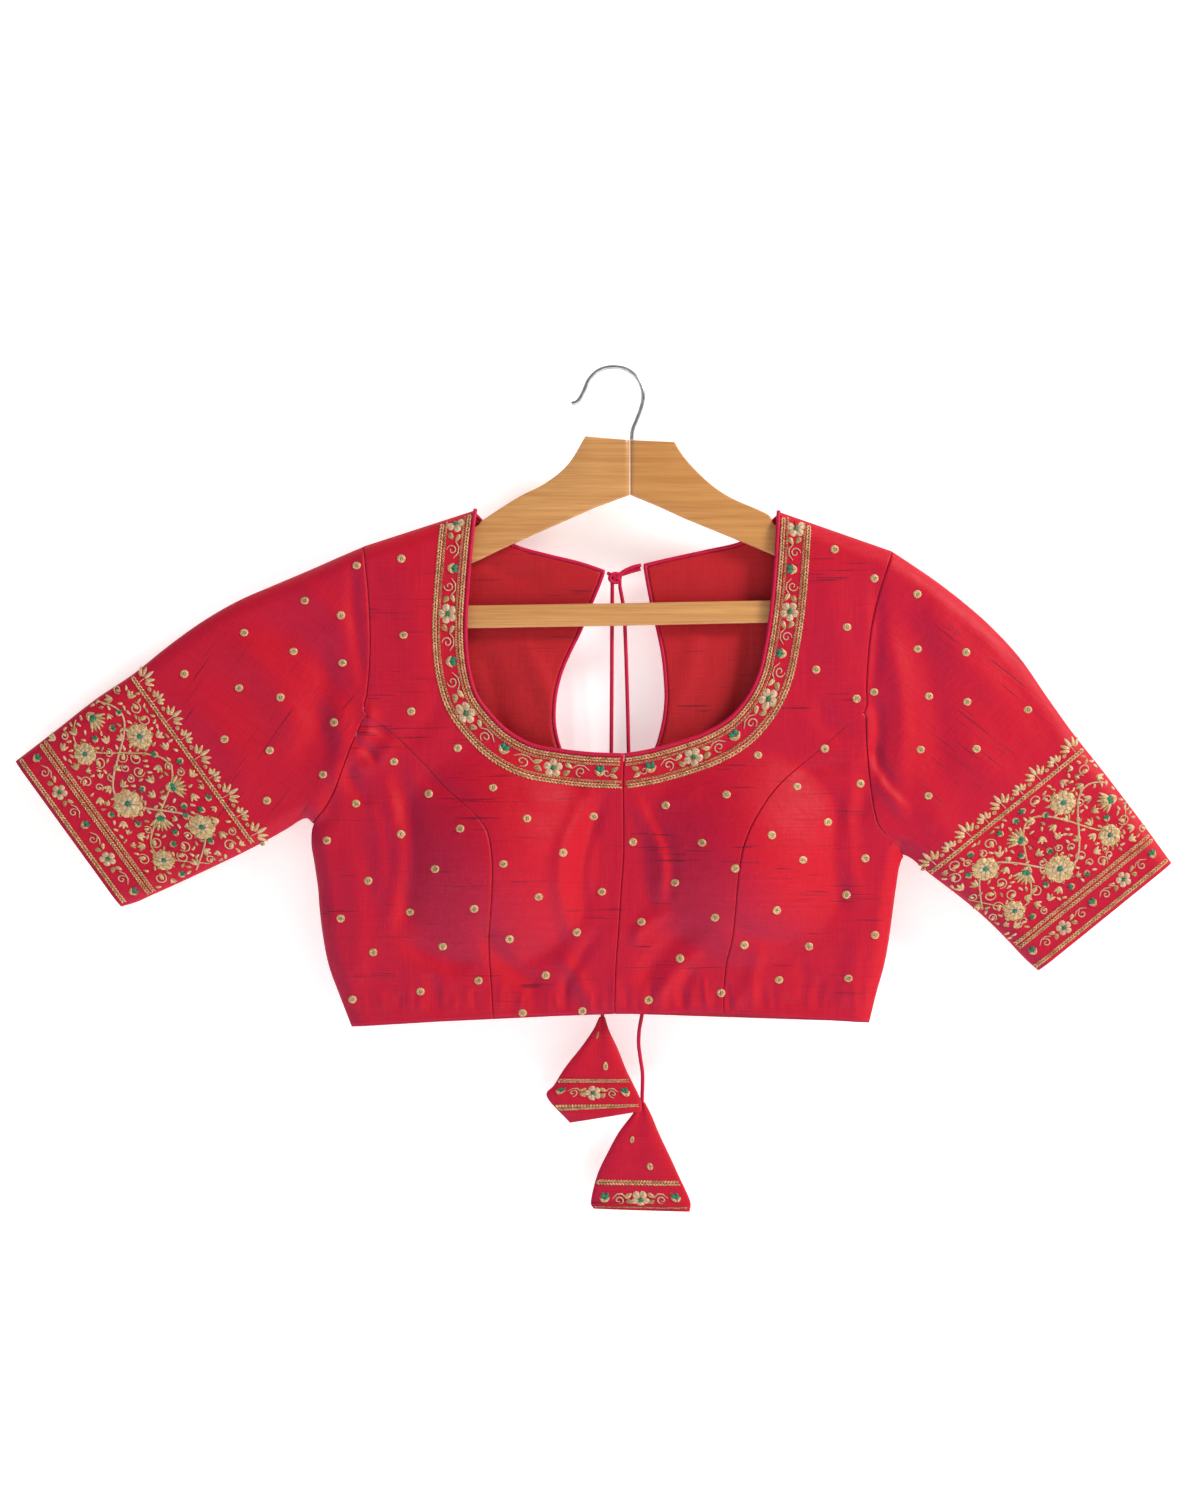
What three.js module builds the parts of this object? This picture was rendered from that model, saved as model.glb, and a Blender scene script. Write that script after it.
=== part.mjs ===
// Choli blouse on a wooden hanger.
// Millimetres, +Z up, the front of the garment faces -Y, the wearer's right is at -X.
// The origin is the inside of the hook's crown, where a rail carries the hanger.
import * as THREE from 'three';
import { mergeVertices } from 'three/addons/utils/BufferGeometryUtils.js';

// ---------- driving dimensions ----------
const WALL = 1.8;            // cloth wall, silk and its backing
const GAP = 0.3;             // gap kept at every seam
const EDGE_HALF = 2.0;       // half depth of the garment at a closed edge or fold
const BODY_HALF = 8.8;       // half depth of the body, with the hanger inside
const CUFF_HALF = 5.6;       // half depth of the sleeves at the cuffs
const HEM_HALF = 6.4;        // half depth of the body at the hem
const EDGE_RISE = 13;        // width over which the depth rises from an edge
const BUST_RISE = 21;        // how far the cups stand out of the front
const PIPING_R = 1.4;        // neck piping radius
const CORD_R = 1.5;          // tie cord radius
const CENTRE_X = 12;         // middle of the hanger
const HANGER_T = 7;          // thickness of the hanger's arms
const BAR_T = 6;             // thickness of the hanger's bar
const HOOK_R = 1.6;          // hook wire radius
const UNDERLAP_W = 24;       // width of the strip behind the centre front

// ---------- tables: a row for each section across a panel, x and z in mm ----------
// Front centre panels: inner is the neck edge, then the centre front; outer is the armhole, then the princess seam.
const FRONT_CENTRE_RIGHT = [
  // innerX, innerZ, outerX, outerZ, edge
  [-102.8, -105.4, -188.3, -133.1, 'neck'],
  [-105.2, -127, -186.4, -149, 'neck'],
  [-106.9, -146, -184.6, -167, 'neck'],
  [-108.6, -168, -183.4, -187, 'neck'],
  [-109.8, -188, -183.0, -205, 'neck'],
  [-109.5, -208.1, -183.5, -223, 'neck'],
  [-107.4, -226, -185.2, -242, 'neck'],
  [-102.6, -243, -186.8, -258, 'neck'],
  [-93.8, -256.1, -172, -269, 'neck'],
  [-80, -270.2, -157, -282, 'neck'],
  [-62, -280.6, -142.5, -297, 'neck'],
  [-42, -284.8, -129.8, -310.9, 'neck'],
  [-18, -287.6, -115, -324.2, 'neck'],
  [7.5, -288.6, -103.5, -334.6, 'neck'],
  [6.8, -312, -95, -346, 'cf'],
  [7.2, -340, -91.3, -363, 'cf'],
  [7.0, -366, -90.8, -384, 'cf'],
  [5.2, -392, -92.0, -404, 'cf'],
  [3.4, -420, -93.6, -426, 'cf'],
  [1.6, -444, -93.2, -447, 'cf'],
  [0.8, -465, -91.8, -467, 'cf'],
  [0.4, -484.2, -90.8, -487.5, 'cf'],
];
const FRONT_CENTRE_LEFT = [
  [122.3, -106.6, 209.3, -136.9, 'neck'],
  [121.2, -126, 204.6, -150, 'neck'],
  [120, -145, 199.4, -166, 'neck'],
  [118.3, -166, 194.9, -184, 'neck'],
  [116, -187, 191.8, -202, 'neck'],
  [112.6, -208, 190.2, -220, 'neck'],
  [108, -228, 189.2, -239, 'neck'],
  [99.5, -245.6, 188.3, -256, 'neck'],
  [86, -261.3, 172, -270, 'neck'],
  [68.6, -271.9, 156, -284, 'neck'],
  [49.5, -278.9, 140, -297.6, 'neck'],
  [30.5, -284.4, 126.5, -309, 'neck'],
  [19, -286.8, 116.5, -320, 'neck'],
  [7.5, -288.6, 109.5, -330, 'neck'],
  [6.8, -312, 102, -343, 'cf'],
  [7.2, -340, 95.6, -360, 'cf'],
  [7.0, -366, 92.2, -382, 'cf'],
  [5.2, -392, 90.6, -403, 'cf'],
  [3.4, -420, 88.6, -426, 'cf'],
  [1.6, -444, 84.2, -446, 'cf'],
  [0.8, -465, 82.4, -466, 'cf'],
  [0.4, -484.2, 82.1, -484.0, 'cf'],
];
// Front side panels: inner is the princess seam, outer is the armhole, then the side seam.
const FRONT_SIDE_RIGHT = [
  [-185.2, -260.5, -187.6, -261.5],
  [-172, -269, -191.5, -271],
  [-157, -282, -197.0, -283],
  [-142.5, -297, -203.0, -299],
  [-129.8, -310.9, -209.0, -315],
  [-115, -324.2, -216.5, -329],
  [-103.5, -334.6, -225.8, -341.6],
  [-95, -346, -227.6, -355.9],
  [-91.3, -363, -225.2, -372],
  [-90.8, -384, -222.6, -390],
  [-92.0, -404, -221.2, -408],
  [-93.6, -426, -218.6, -428],
  [-93.2, -447, -214.4, -448.5],
  [-91.8, -467, -206.6, -470],
  [-90.8, -487.5, -197.3, -493.9],
];
const FRONT_SIDE_LEFT = [
  [186.8, -258.0, 188.7, -261],
  [172, -270, 189.0, -273],
  [156, -284, 189.9, -287],
  [140, -297.6, 191.2, -303],
  [126.5, -309, 193.0, -319],
  [116.5, -320, 195.6, -334],
  [109.5, -330, 200.5, -346],
  [102, -343, 216.5, -362.3],
  [95.6, -360, 214.4, -374],
  [92.2, -382, 211.5, -394],
  [90.6, -403, 209.2, -411],
  [88.6, -426, 206.8, -428.5],
  [84.2, -446, 203.2, -448],
  [82.4, -466, 197.4, -469],
  [82.1, -484.0, 192.0, -490.9],
];
// Back: inner is the back neck edge, then the keyhole, then the middle of the back; outer is the armhole, then the side seam.
const BACK_RIGHT = [
  [-103.8, -107.4, -188.3, -133.1],
  [-89, -122, -185.6, -158],
  [-73, -131.5, -183.4, -186],
  [-50, -138, -183.2, -212],
  [-26, -143.8, -184.8, -236],
  [-6, -150.4, -188.8, -256],
  [-10.5, -163, -194.2, -274],
  [-16.5, -177, -199.6, -290],
  [-24, -196, -204.8, -305],
  [-33, -214.5, -210.6, -318],
  [-39.6, -231, -217.0, -330],
  [-43.4, -250, -225.8, -341.6],
  [-43.2, -270, -227.6, -356],
  [-37, -290, -225.2, -372],
  [-24, -305.5, -222.6, -390],
  [-2.5, -313, -221.2, -408],
  [-1.5, -345, -218.6, -428],
  [-0.5, -390, -214.4, -448.5],
  [0.2, -440, -206.6, -470],
  [0.4, -484.6, -197.3, -493.9],
];
const BACK_LEFT = [
  [123.3, -108.6, 209.3, -136.9],
  [109, -121, 203.4, -154],
  [93.5, -129.4, 196.6, -178],
  [70, -134.8, 192.4, -200],
  [45, -140.2, 190.2, -221],
  [21.8, -145.6, 188.9, -243],
  [24.2, -160, 188.5, -262],
  [27.3, -176, 189.0, -279],
  [32.2, -197, 190.3, -297],
  [35.8, -215, 192.0, -314],
  [37.6, -233, 195.4, -334],
  [38, -250, 203.0, -349],
  [35.3, -269, 216.5, -362.3],
  [29, -288, 213.8, -379],
  [16, -304, 211.2, -396],
  [-2.5, -313, 209.0, -412],
  [-1.5, -345, 206.8, -429],
  [-0.5, -390, 203.2, -448],
  [0.2, -440, 197.4, -469],
  [0.4, -484.6, 192.0, -490.9],
];
// Sleeves: top is the fold over the arm, bottom is the underarm fold; the first row is the armhole, the last the cuff.
const SLEEVE_RIGHT = [
  [-188.3, -133.1, -225.8, -341.6],
  [-206.6, -140.9, -232.5, -337.6],
  [-231, -151.6, -246.5, -345.8],
  [-256, -162.2, -262.5, -354.8],
  [-283, -174.0, -279.5, -363.6],
  [-309, -189.0, -297.0, -372.0],
  [-335, -207.6, -314.0, -380.0],
  [-361.5, -228.8, -331.5, -388.1],
  [-389.5, -247.6, -347.0, -395.0],
  [-420, -271.4, -358.4, -400.2],
  [-450, -294.4, -370.5, -403.9],
];
const SLEEVE_LEFT = [
  [209.3, -136.9, 216.5, -362.3],
  [225, -147.2, 222.5, -366.4],
  [243, -159.6, 232.0, -374.8],
  [263.8, -175.7, 243.5, -383.9],
  [285, -194.6, 255.8, -393.2],
  [306, -217.6, 267.6, -402.6],
  [325, -245.0, 279.0, -412.4],
  [345, -273.0, 290.0, -423.0],
  [367, -300.8, 300.0, -433.4],
  [393, -334.9, 309.6, -443.6],
  [419.3, -370.9, 319.0, -451.9],
];
// How far each armhole seam bows from the straight line between shoulder tip and underarm.
const BOW_RIGHT = [
  // share of the way down, bowX
  [0, 0], [0.14, 7.6], [0.3, 16.4], [0.45, 21.4], [0.58, 22.2], [0.72, 17.6], [0.86, 10.6], [1, 0],
];
const BOW_LEFT = [
  [0, 0], [0.1, -8.2], [0.22, -16.4], [0.38, -22.2], [0.54, -24.7], [0.7, -24.4], [0.84, -20.8], [0.875, -19.4], [0.93, -14.6], [1, 0],
];
// Hanger arm: top and lower edge, from the centre joint to the tip.
const ARM_RIGHT = [
  // topX, topZ, lowX, lowZ
  [11.8, -53.1, 11.8, -94.3],
  [-21.5, -50.3, -14, -103.8],
  [-34.5, -71.3, -33, -112.2],
  [-52, -85.8, -56, -122.4],
  [-71.3, -95.6, -80, -133.2],
  [-97.4, -112.4, -92, -138.9],
  [-104.4, -118.4, -104.6, -144.8],
  [-130, -130.4, -135, -158.6],
  [-165, -146.6, -168, -174],
  [-193, -160.4, -191, -186],
  [-200, -168, -198.6, -181],
];
const ARM_LEFT = [
  [12.2, -53.1, 12.2, -94.3],
  [45.4, -54.5, 36, -104.2],
  [54.8, -68.4, 52, -111.6],
  [70.5, -84.4, 72, -119.8],
  [87.8, -96.4, 92, -127.9],
  [115.6, -109.0, 112, -136.4],
  [121.6, -117.4, 122, -140.6],
  [150, -130.2, 152, -154],
  [184, -146.4, 184, -168.6],
  [214, -160.6, 213, -182],
  [222, -167.6, 220.6, -177],
];
// Hook wire, from the wood up and round to the tip.
const HOOK_WIRE = [
  // x, z
  [13.3, -52.7], [13.9, -46], [17.1, -37.6], [20.3, -29.1], [22.0, -20.6], [20.8, -12.6], [16.4, -4.9], [9.6, 0.2],
  [1.4, 2.0], [-6.4, 1.4], [-13.6, -1.9], [-19.2, -8.1], [-22.9, -16.5], [-27.1, -23.6], [-31.8, -25.6],
];
// Tie cords behind the back, from the knot down: x, z.
const CORD_RIGHT = [
  [-1.2, -163.2], [-1.3, -180], [-1.5, -205], [-1.6, -235], [-1.8, -265], [-2.0, -290], [-2.8, -330], [-4.2, -370],
  [-5.6, -410], [-6.9, -445], [-8.0, -470], [-8.7, -486.5],
];
const CORD_LEFT = [
  [4.6, -163.2], [7.4, -180], [8.8, -205], [9.8, -235], [10.6, -265], [11.2, -290], [13.0, -330], [15.2, -370],
  [17.6, -410], [19.6, -445], [21.2, -468], [21.3, -484], [19.2, -497], [18.7, -508], [20.0, -519], [21.6, -530],
  [21.6, -541], [21.3, -551.4],
];
// Tassels, a row for each section from the apex down: left edge, right edge, half depth.
const LATKAN_RIGHT = [
  // leftX, leftZ, rightX, rightZ, half, y
  [-11.2, -487.6, -6.6, -487.6, 2.3, 8.7],
  [-15.6, -497, -3.6, -497.5, 2.7, 8.5],
  [-25.0, -510.5, 3.0, -511.5, 3.0, 8.1],
  [-36.5, -525.0, 9.2, -527.0, 3.2, 7.6],
  [-45.0, -538.4, 14.6, -538.0, 3.3, 7.2],
  [-50.6, -547.6, 20.2, -549.8, 3.3, 6.9],
  [-33.4, -567.0, 20.8, -558.2, 3.2, 6.7],
];
const LATKAN_LEFT = [
  [18.9, -552.6, 23.6, -552.6, 2.3, 13.8],
  [13.4, -562, 28.6, -562.5, 2.7, 13.8],
  [3.6, -575, 34.4, -576.5, 3.0, 13.4],
  [-4.6, -590, 41.8, -592, 3.2, 13.0],
  [-12.6, -607, 49.4, -608.5, 3.3, 12.6],
  [-17.4, -626.8, 57.6, -626.6, 3.3, 12.3],
  [-15.6, -632.4, 57.4, -634.8, 3.2, 12.2],
];

// ---------- the shape of the garment ----------
const column = (rows, x, z) => rows.map((r) => [r[x], r[z]]);
const CLOSED_EDGES = [
  // shoulder line and sleeve fold, then underarm fold and side seam, on each side
  [[-102.8, -105.4], ...column(SLEEVE_RIGHT, 0, 1)],
  [...column(SLEEVE_RIGHT, 2, 3).reverse().slice(0, -1), ...column(FRONT_SIDE_RIGHT, 2, 3).slice(6)],
  [[122.3, -106.6], ...column(SLEEVE_LEFT, 0, 1)],
  [...column(SLEEVE_LEFT, 2, 3).reverse().slice(0, -1), ...column(FRONT_SIDE_LEFT, 2, 3).slice(7)],
];
// Puffed cups: centre, half width, half height.
const CUPS = [
  // x, z, rx, rz
  [-88, -366, 78, 84],
  [98, -366, 78, 84],
];

const mix = (a, b, t) => a + (b - a) * t;
const clamp = (v, lo, hi) => Math.min(hi, Math.max(lo, v));
const smooth = (a, b, v) => { const t = clamp((v - a) / (b - a), 0, 1); return t * t * (3 - 2 * t); };

function distanceToLine(x, z, line) {
  let best = 1e9;
  for (let i = 1; i < line.length; i++) {
    const [ax, az] = line[i - 1], [bx, bz] = line[i];
    const dx = bx - ax, dz = bz - az;
    const t = clamp(((x - ax) * dx + (z - az) * dz) / (dx * dx + dz * dz), 0, 1);
    best = Math.min(best, Math.hypot(x - ax - dx * t, z - az - dz * t));
  }
  return best;
}
// Half depth of the garment's outer face, the same in front and behind, without the cups.
function halfDepth(x, z) {
  const d = Math.min(...CLOSED_EDGES.map((line) => distanceToLine(x, z, line)));
  const out = smooth(200, 410, Math.abs(x - CENTRE_X));
  const full = mix(BODY_HALF, CUFF_HALF, out) - (BODY_HALF - HEM_HALF) * smooth(-410, -490, z) * (1 - out);
  const u = 1 - clamp(d / EDGE_RISE, 0, 1);
  return EDGE_HALF + (full - EDGE_HALF) * (1 - u * u);
}
function cupRise(x, z) {
  let rise = 0;
  for (const [cx, cz, rx, rz] of CUPS) {
    const q = 1 - ((x - cx) / rx) ** 2 - ((z - cz) / rz) ** 2;
    if (q > 0) rise += BUST_RISE * q ** 1.5;
  }
  return rise;
}
const frontY = (x, z) => -halfDepth(x, z) - cupRise(x, z);
const backY = (x, z) => halfDepth(x, z);

// ---------- helpers that make the solids ----------
// A closed wall from a sheet: outer and inner points in step, quads or triangles of indices.
function wallGeometry(outer, inner, faces) {
  const tris = [];
  for (const f of faces) {
    tris.push([f[0], f[1], f[2]]);
    if (f.length === 4) tris.push([f[0], f[2], f[3]]);
  }
  const n = outer.length;
  const edges = new Map();
  for (const [a, b, c] of tris) for (const [p, q] of [[a, b], [b, c], [c, a]]) edges.set(`${p},${q}`, [p, q]);
  const all = [...tris, ...tris.map(([a, b, c]) => [a + n, c + n, b + n])];
  for (const [p, q] of edges.values()) {
    if (!edges.has(`${q},${p}`)) all.push([q, p, p + n], [q, p + n, q + n]);
  }
  const pts = [...outer, ...inner];
  let volume = 0;
  for (const [a, b, c] of all) {
    const [A, B, C] = [pts[a], pts[b], pts[c]];
    volume += A[0] * (B[1] * C[2] - B[2] * C[1]) - A[1] * (B[0] * C[2] - B[2] * C[0]) + A[2] * (B[0] * C[1] - B[1] * C[0]);
  }
  const g = new THREE.BufferGeometry();
  g.setAttribute('position', new THREE.Float32BufferAttribute(pts.flat(), 3));
  g.setIndex(all.flatMap(([a, b, c]) => (volume < 0 ? [a, c, b] : [a, b, c])));
  g.computeVertexNormals();
  return g;
}
// Moves the ends of a row in, so that seams keep their gap.
function trimmedRow(row, leftTrim, rightTrim) {
  const [ax, az, bx, bz] = row;
  const len = Math.hypot(bx - ax, bz - az);
  const a = Math.min(leftTrim / len, 0.4), b = Math.min(rightTrim / len, 0.4);
  return [mix(ax, bx, a), mix(az, bz, a), mix(bx, ax, b), mix(bz, az, b)];
}
const NECK_ROOM = 2 * PIPING_R + GAP + 0.5;
// A line moved sideways by a distance, mitred at its corners, towards the side of its rows.
function offsetLine(line, towards, distance) {
  const normals = line.slice(1).map(([bx, bz], i) => {
    const [ax, az] = line[i];
    const len = Math.hypot(bx - ax, bz - az);
    let nx = -(bz - az) / len, nz = (bx - ax) / len;
    const side = nx * (towards[i][0] + towards[i + 1][0]) + nz * (towards[i][1] + towards[i + 1][1]);
    if (side < 0) { nx = -nx; nz = -nz; }
    return [nx, nz];
  });
  return line.map(([x, z], i) => {
    const a = normals[Math.max(0, i - 1)], b = normals[Math.min(normals.length - 1, i)];
    const k = distance / Math.max(0.35, 1 + a[0] * b[0] + a[1] * b[1]);
    return [x + (a[0] + b[0]) * k, z + (a[1] + b[1]) * k];
  });
}
const rowDirections = (rows) => rows.map((r) => [r[2] - r[0], r[3] - r[1]]);
// A front centre panel's rows, its neck edge moved out to leave room for the piping.
function centreRows(rows) {
  const neck = rows.filter((r) => r[4] === 'neck');
  const moved = offsetLine(column(neck, 0, 1), rowDirections(neck), NECK_ROOM);
  const first = trimmedRow(rows[0], NECK_ROOM, 0);
  moved[0] = [first[0], first[1]];
  const last = neck.length - 1;
  moved[last] = [neck[last][0] + Math.sign(rows[0][2]) * GAP * 0.7, neck[last][1] - NECK_ROOM];
  moved[last - 1][0] = neck[last - 1][0];
  return rows.map((r, i) => (i <= last ? [...moved[i], r[2], r[3]] : [r[0] + Math.sign(r[2]) * GAP * 0.7, r[1], r[2], r[3]]));
}
// A panel: rows across, with `across` cells in each, on the surface given by side.
function panelGeometry(rows, across, surface, sign, innerTrim) {
  const outer = [], inner = [], faces = [];
  rows.forEach((row, i) => {
    const [ax, az, bx, bz] = trimmedRow(row, innerTrim, GAP * 0.8);
    for (let j = 0; j <= across; j++) {
      const x = mix(ax, bx, j / across), z = mix(az, bz, j / across);
      const y = surface(x, z);
      outer.push([x, y, z]);
      inner.push([x, y - sign * WALL, z]);
      if (i && j) {
        const k = i * (across + 1) + j;
        faces.push([k - across - 2, k - 1, k, k - across - 1]);
      }
    }
  });
  return wallGeometry(outer, inner, faces);
}
// The back's rows, its neck and keyhole edge moved out to leave room for the piping.
const KEYHOLE_BOTTOM = -313;
function backRows(rows) {
  const edge = rows.filter((r) => r[1] > KEYHOLE_BOTTOM);
  const moved = offsetLine(column(edge, 0, 1), rowDirections(edge), NECK_ROOM);
  const first = trimmedRow(rows[0], NECK_ROOM, 0);
  moved[0] = [first[0], first[1]];
  return rows.map((r, i) => (i < edge.length ? [...moved[i], r[2], r[3]] : r));
}
// The back: two halves that share the middle line below the keyhole.
function backGeometry(across) {
  const outer = [], inner = [], faces = [], middle = new Map();
  const grids = [BACK_RIGHT, BACK_LEFT].map(backRows).map((rows) => rows.map((row) => {
    const joined = row[1] <= KEYHOLE_BOTTOM + 1e-6;
    const [ax, az, bx, bz] = trimmedRow(row, 0, GAP * 0.8);
    const line = [];
    for (let j = 0; j <= across; j++) {
      const x = mix(ax, bx, j / across), z = mix(az, bz, j / across);
      const key = j === 0 && joined ? `${row[1]}` : null;
      if (key && middle.has(key)) { line.push(middle.get(key)); continue; }
      const y = backY(x, z);
      line.push(outer.length);
      if (key) middle.set(key, outer.length);
      outer.push([x, y, z]);
      inner.push([x, y - WALL, z]);
    }
    return line;
  }));
  grids.forEach((grid, side) => {
    for (let i = 1; i < grid.length; i++) for (let j = 1; j <= across; j++) {
      const f = [grid[i - 1][j - 1], grid[i][j - 1], grid[i][j], grid[i - 1][j]];
      faces.push(side ? f.reverse() : f);
    }
  });
  return wallGeometry(outer, inner, faces);
}
// A sleeve: a flat tube with an outer and an inner ring for each section.
function tableAt(table, s) {
  for (let i = 1; i < table.length; i++) {
    if (s <= table[i][0]) return mix(table[i - 1][1], table[i][1], (s - table[i - 1][0]) / (table[i][0] - table[i - 1][0]));
  }
  return table[table.length - 1][1];
}
function sleevePoint(rows, bow, i, s) {
  const [tx, tz, bx, bz] = rows[i];
  const fade = (1 - i / (rows.length - 1)) ** 1.6;
  return [mix(tx, bx, s) + tableAt(bow, s) * fade, mix(tz, bz, s)];
}
const SLEEVE_STEPS = [0, 0.03, 0.09, 0.18, 0.3, 0.44, 0.58, 0.72, 0.84, 0.93, 0.975, 1];
function sleeveGeometry(rows, bow) {
  const outer = [], inner = [], faces = [];
  const steps = SLEEVE_STEPS, n = steps.length;
  const out = Math.sign(rows[0][0]);
  rows.forEach((row, i) => {
    const shift = i === 0 ? out * GAP * 1.7 : 0;
    const height = Math.hypot(row[2] - row[0], row[3] - row[1]);
    const ring = [];
    for (let j = 0; j < n; j++) ring.push([steps[j], -1]);
    for (let j = n - 2; j > 0; j--) ring.push([steps[j], 1]);
    ring.forEach(([s, sign], j) => {
      const [x, z] = sleevePoint(rows, bow, i, s);
      const fold = s === 0 || s === 1;
      const y = fold ? 0 : sign * halfDepth(x, z);
      outer.push([x + shift, y, z]);
      const inset = WALL / height;
      const [ix, iz] = fold ? sleevePoint(rows, bow, i, s === 0 ? inset : 1 - inset) : [x, z];
      inner.push([ix + shift, fold ? 0 : sign * (Math.abs(y) - WALL), iz]);
      if (i) {
        const m = ring.length, k = i * m + j, p = i * m + ((j + m - 1) % m);
        faces.push([p - m, p, k, k - m]);
      }
    });
  });
  return wallGeometry(outer, inner, faces);
}
// A round piece along a line of points, made by sweeping a polygon.
function sweep(points, radius, sides, steps) {
  const curve = new THREE.CatmullRomCurve3(points.map((p) => new THREE.Vector3(...p)), false, 'centripetal');
  const section = new THREE.Shape();
  for (let i = 0; i < sides; i++) {
    const a = (2 * Math.PI * i) / sides;
    const p = [radius * Math.cos(a), radius * Math.sin(a)];
    if (i) section.lineTo(...p); else section.moveTo(...p);
  }
  section.closePath();
  return new THREE.ExtrudeGeometry(section, { steps, bevelEnabled: false, extrudePath: curve, curveSegments: 1 });
}
// Piping along an edge: beside the panel's edge, in the middle of its wall.
function pipingPoints(line, surface, sign, towards) {
  return offsetLine(line, towards, PIPING_R).map(([x, z]) => [x, surface(x, z) - sign * WALL * 0.5, z]);
}
function mergedLathe(geometry) {
  const g = geometry.clone();
  g.deleteAttribute('normal');
  g.deleteAttribute('uv');
  return mergeVertices(g, 0.001);
}
// A flat plate between two edges, with square sides.
function plateGeometry(rows, thickness) {
  const outer = rows.flatMap(([tx, tz, lx, lz]) => [[tx, -thickness / 2, tz], [lx, -thickness / 2, lz]]);
  const inner = outer.map(([x, , z]) => [x, thickness / 2, z]);
  const faces = [];
  for (let i = 1; i < rows.length; i++) faces.push([2 * i - 2, 2 * i - 1, 2 * i + 1, 2 * i]);
  return wallGeometry(outer, inner, faces);
}
// A tassel: two layers of cloth that meet at the sides, open at the bottom.
const LATKAN_WALL = 1.5;
function latkanGeometry(rows) {
  const outer = [], inner = [], faces = [], across = 6;
  rows.forEach(([lx, lz, rx, rz, half, yMiddle], i) => {
    const ring = [];
    for (let j = 0; j <= across; j++) ring.push([j / across, -1]);
    for (let j = across - 1; j > 0; j--) ring.push([j / across, 1]);
    const width = Math.hypot(rx - lx, rz - lz);
    ring.forEach(([s, sign], j) => {
      const side = s === 0 || s === 1;
      const bulge = Math.sqrt(Math.max(0, 1 - (2 * s - 1) ** 2));
      const y = side ? 0 : sign * half * mix(0.72, 1, bulge);
      outer.push([mix(lx, rx, s), yMiddle + y, mix(lz, rz, s)]);
      const inset = Math.min(LATKAN_WALL / width, 0.25);
      const q = side ? (s === 0 ? inset : 1 - inset) : clamp(s, inset * 1.2, 1 - inset * 1.2);
      const thin = Math.min(LATKAN_WALL, half * 0.6);
      inner.push([mix(lx, rx, q), yMiddle + (side ? 0 : sign * Math.max(0.25, Math.abs(y) - thin)), mix(lz, rz, q)]);
      if (i) {
        const m = ring.length, k = i * m + j, p = i * m + ((j + m - 1) % m);
        faces.push([p - m, p, k, k - m]);
      }
    });
  });
  return wallGeometry(outer, inner, faces);
}

// ---------- materials ----------
const material = (color, roughness, metalness = 0) => new THREE.MeshStandardMaterial({ color, roughness, metalness });
const SILK = material(0xc8102e, 0.55);
const SILK_PLAIN = material(0xb81226, 0.6);
const WOOD = material(0xd9a05b, 0.4);
const STEEL = material(0xb8b8b8, 0.25, 1);

// ---------- the part ----------
const group = new THREE.Group();
function add(name, geometry, mat) {
  const mesh = new THREE.Mesh(geometry, mat);
  mesh.name = name;
  group.add(mesh);
}

add('front_centre_right', panelGeometry(centreRows(FRONT_CENTRE_RIGHT), 8, frontY, -1, 0), SILK);
add('front_centre_left', panelGeometry(centreRows(FRONT_CENTRE_LEFT), 8, frontY, -1, 0), SILK);
add('front_side_right', panelGeometry(FRONT_SIDE_RIGHT, 9, frontY, -1, GAP * 0.8), SILK);
add('front_side_left', panelGeometry(FRONT_SIDE_LEFT, 9, frontY, -1, GAP * 0.8), SILK);
add('back', backGeometry(9), SILK);
add('sleeve_right', sleeveGeometry(SLEEVE_RIGHT, BOW_RIGHT), SILK);
add('sleeve_left', sleeveGeometry(SLEEVE_LEFT, BOW_LEFT), SILK);

// piping of the front neck
for (const [name, rows] of [['piping_front_right', FRONT_CENTRE_RIGHT], ['piping_front_left', FRONT_CENTRE_LEFT]]) {
  const neck = rows.filter((r) => r[4] === 'neck');
  const line = column(neck, 0, 1);
  const last = line.length - 1;
  line[last] = [mix(line[last][0], line[last - 1][0], 0.02), line[last][1]];
  add(name, sweep(pipingPoints(line, frontY, -1, rowDirections(neck)), PIPING_R, 6, 24), SILK_PLAIN);
}
// piping of the back neck and keyhole, to the middle of its round bottom
for (const [name, rows] of [['piping_back_right', BACK_RIGHT], ['piping_back_left', BACK_LEFT]]) {
  const edge = rows.filter((r) => r[1] >= -305.6);
  const line = column(edge, 0, 1);
  add(name, sweep(pipingPoints(line, backY, 1, rowDirections(edge)), PIPING_R, 6, 28), SILK_PLAIN);
}
// strip behind the centre front opening
{
  const rows = FRONT_CENTRE_RIGHT.filter((r) => r[4] === 'cf');
  const top = [rows[0][0], -294.5];
  const line = [top, ...column(rows, 0, 1).slice(0, -1), [0.4, -481.5]];
  const outer = [], inner = [], faces = [], across = 4;
  line.forEach(([x, z], i) => {
    for (let j = 0; j <= across; j++) {
      const px = x - UNDERLAP_W / 2 + (UNDERLAP_W * j) / across;
      const y = frontY(px, z) + WALL + GAP;
      outer.push([px, y, z]);
      inner.push([px, y + 1.2, z]);
      if (i && j) {
        const k = i * (across + 1) + j;
        faces.push([k - across - 2, k - 1, k, k - across - 1]);
      }
    }
  });
  add('placket_underlay', wallGeometry(outer, inner, faces), SILK_PLAIN);
}
// tie cords: from the knot, down behind the back, to the tassels
const CORD_CLEAR = CORD_R + 0.8;
const KNOT_Y = 8.4;
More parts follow.
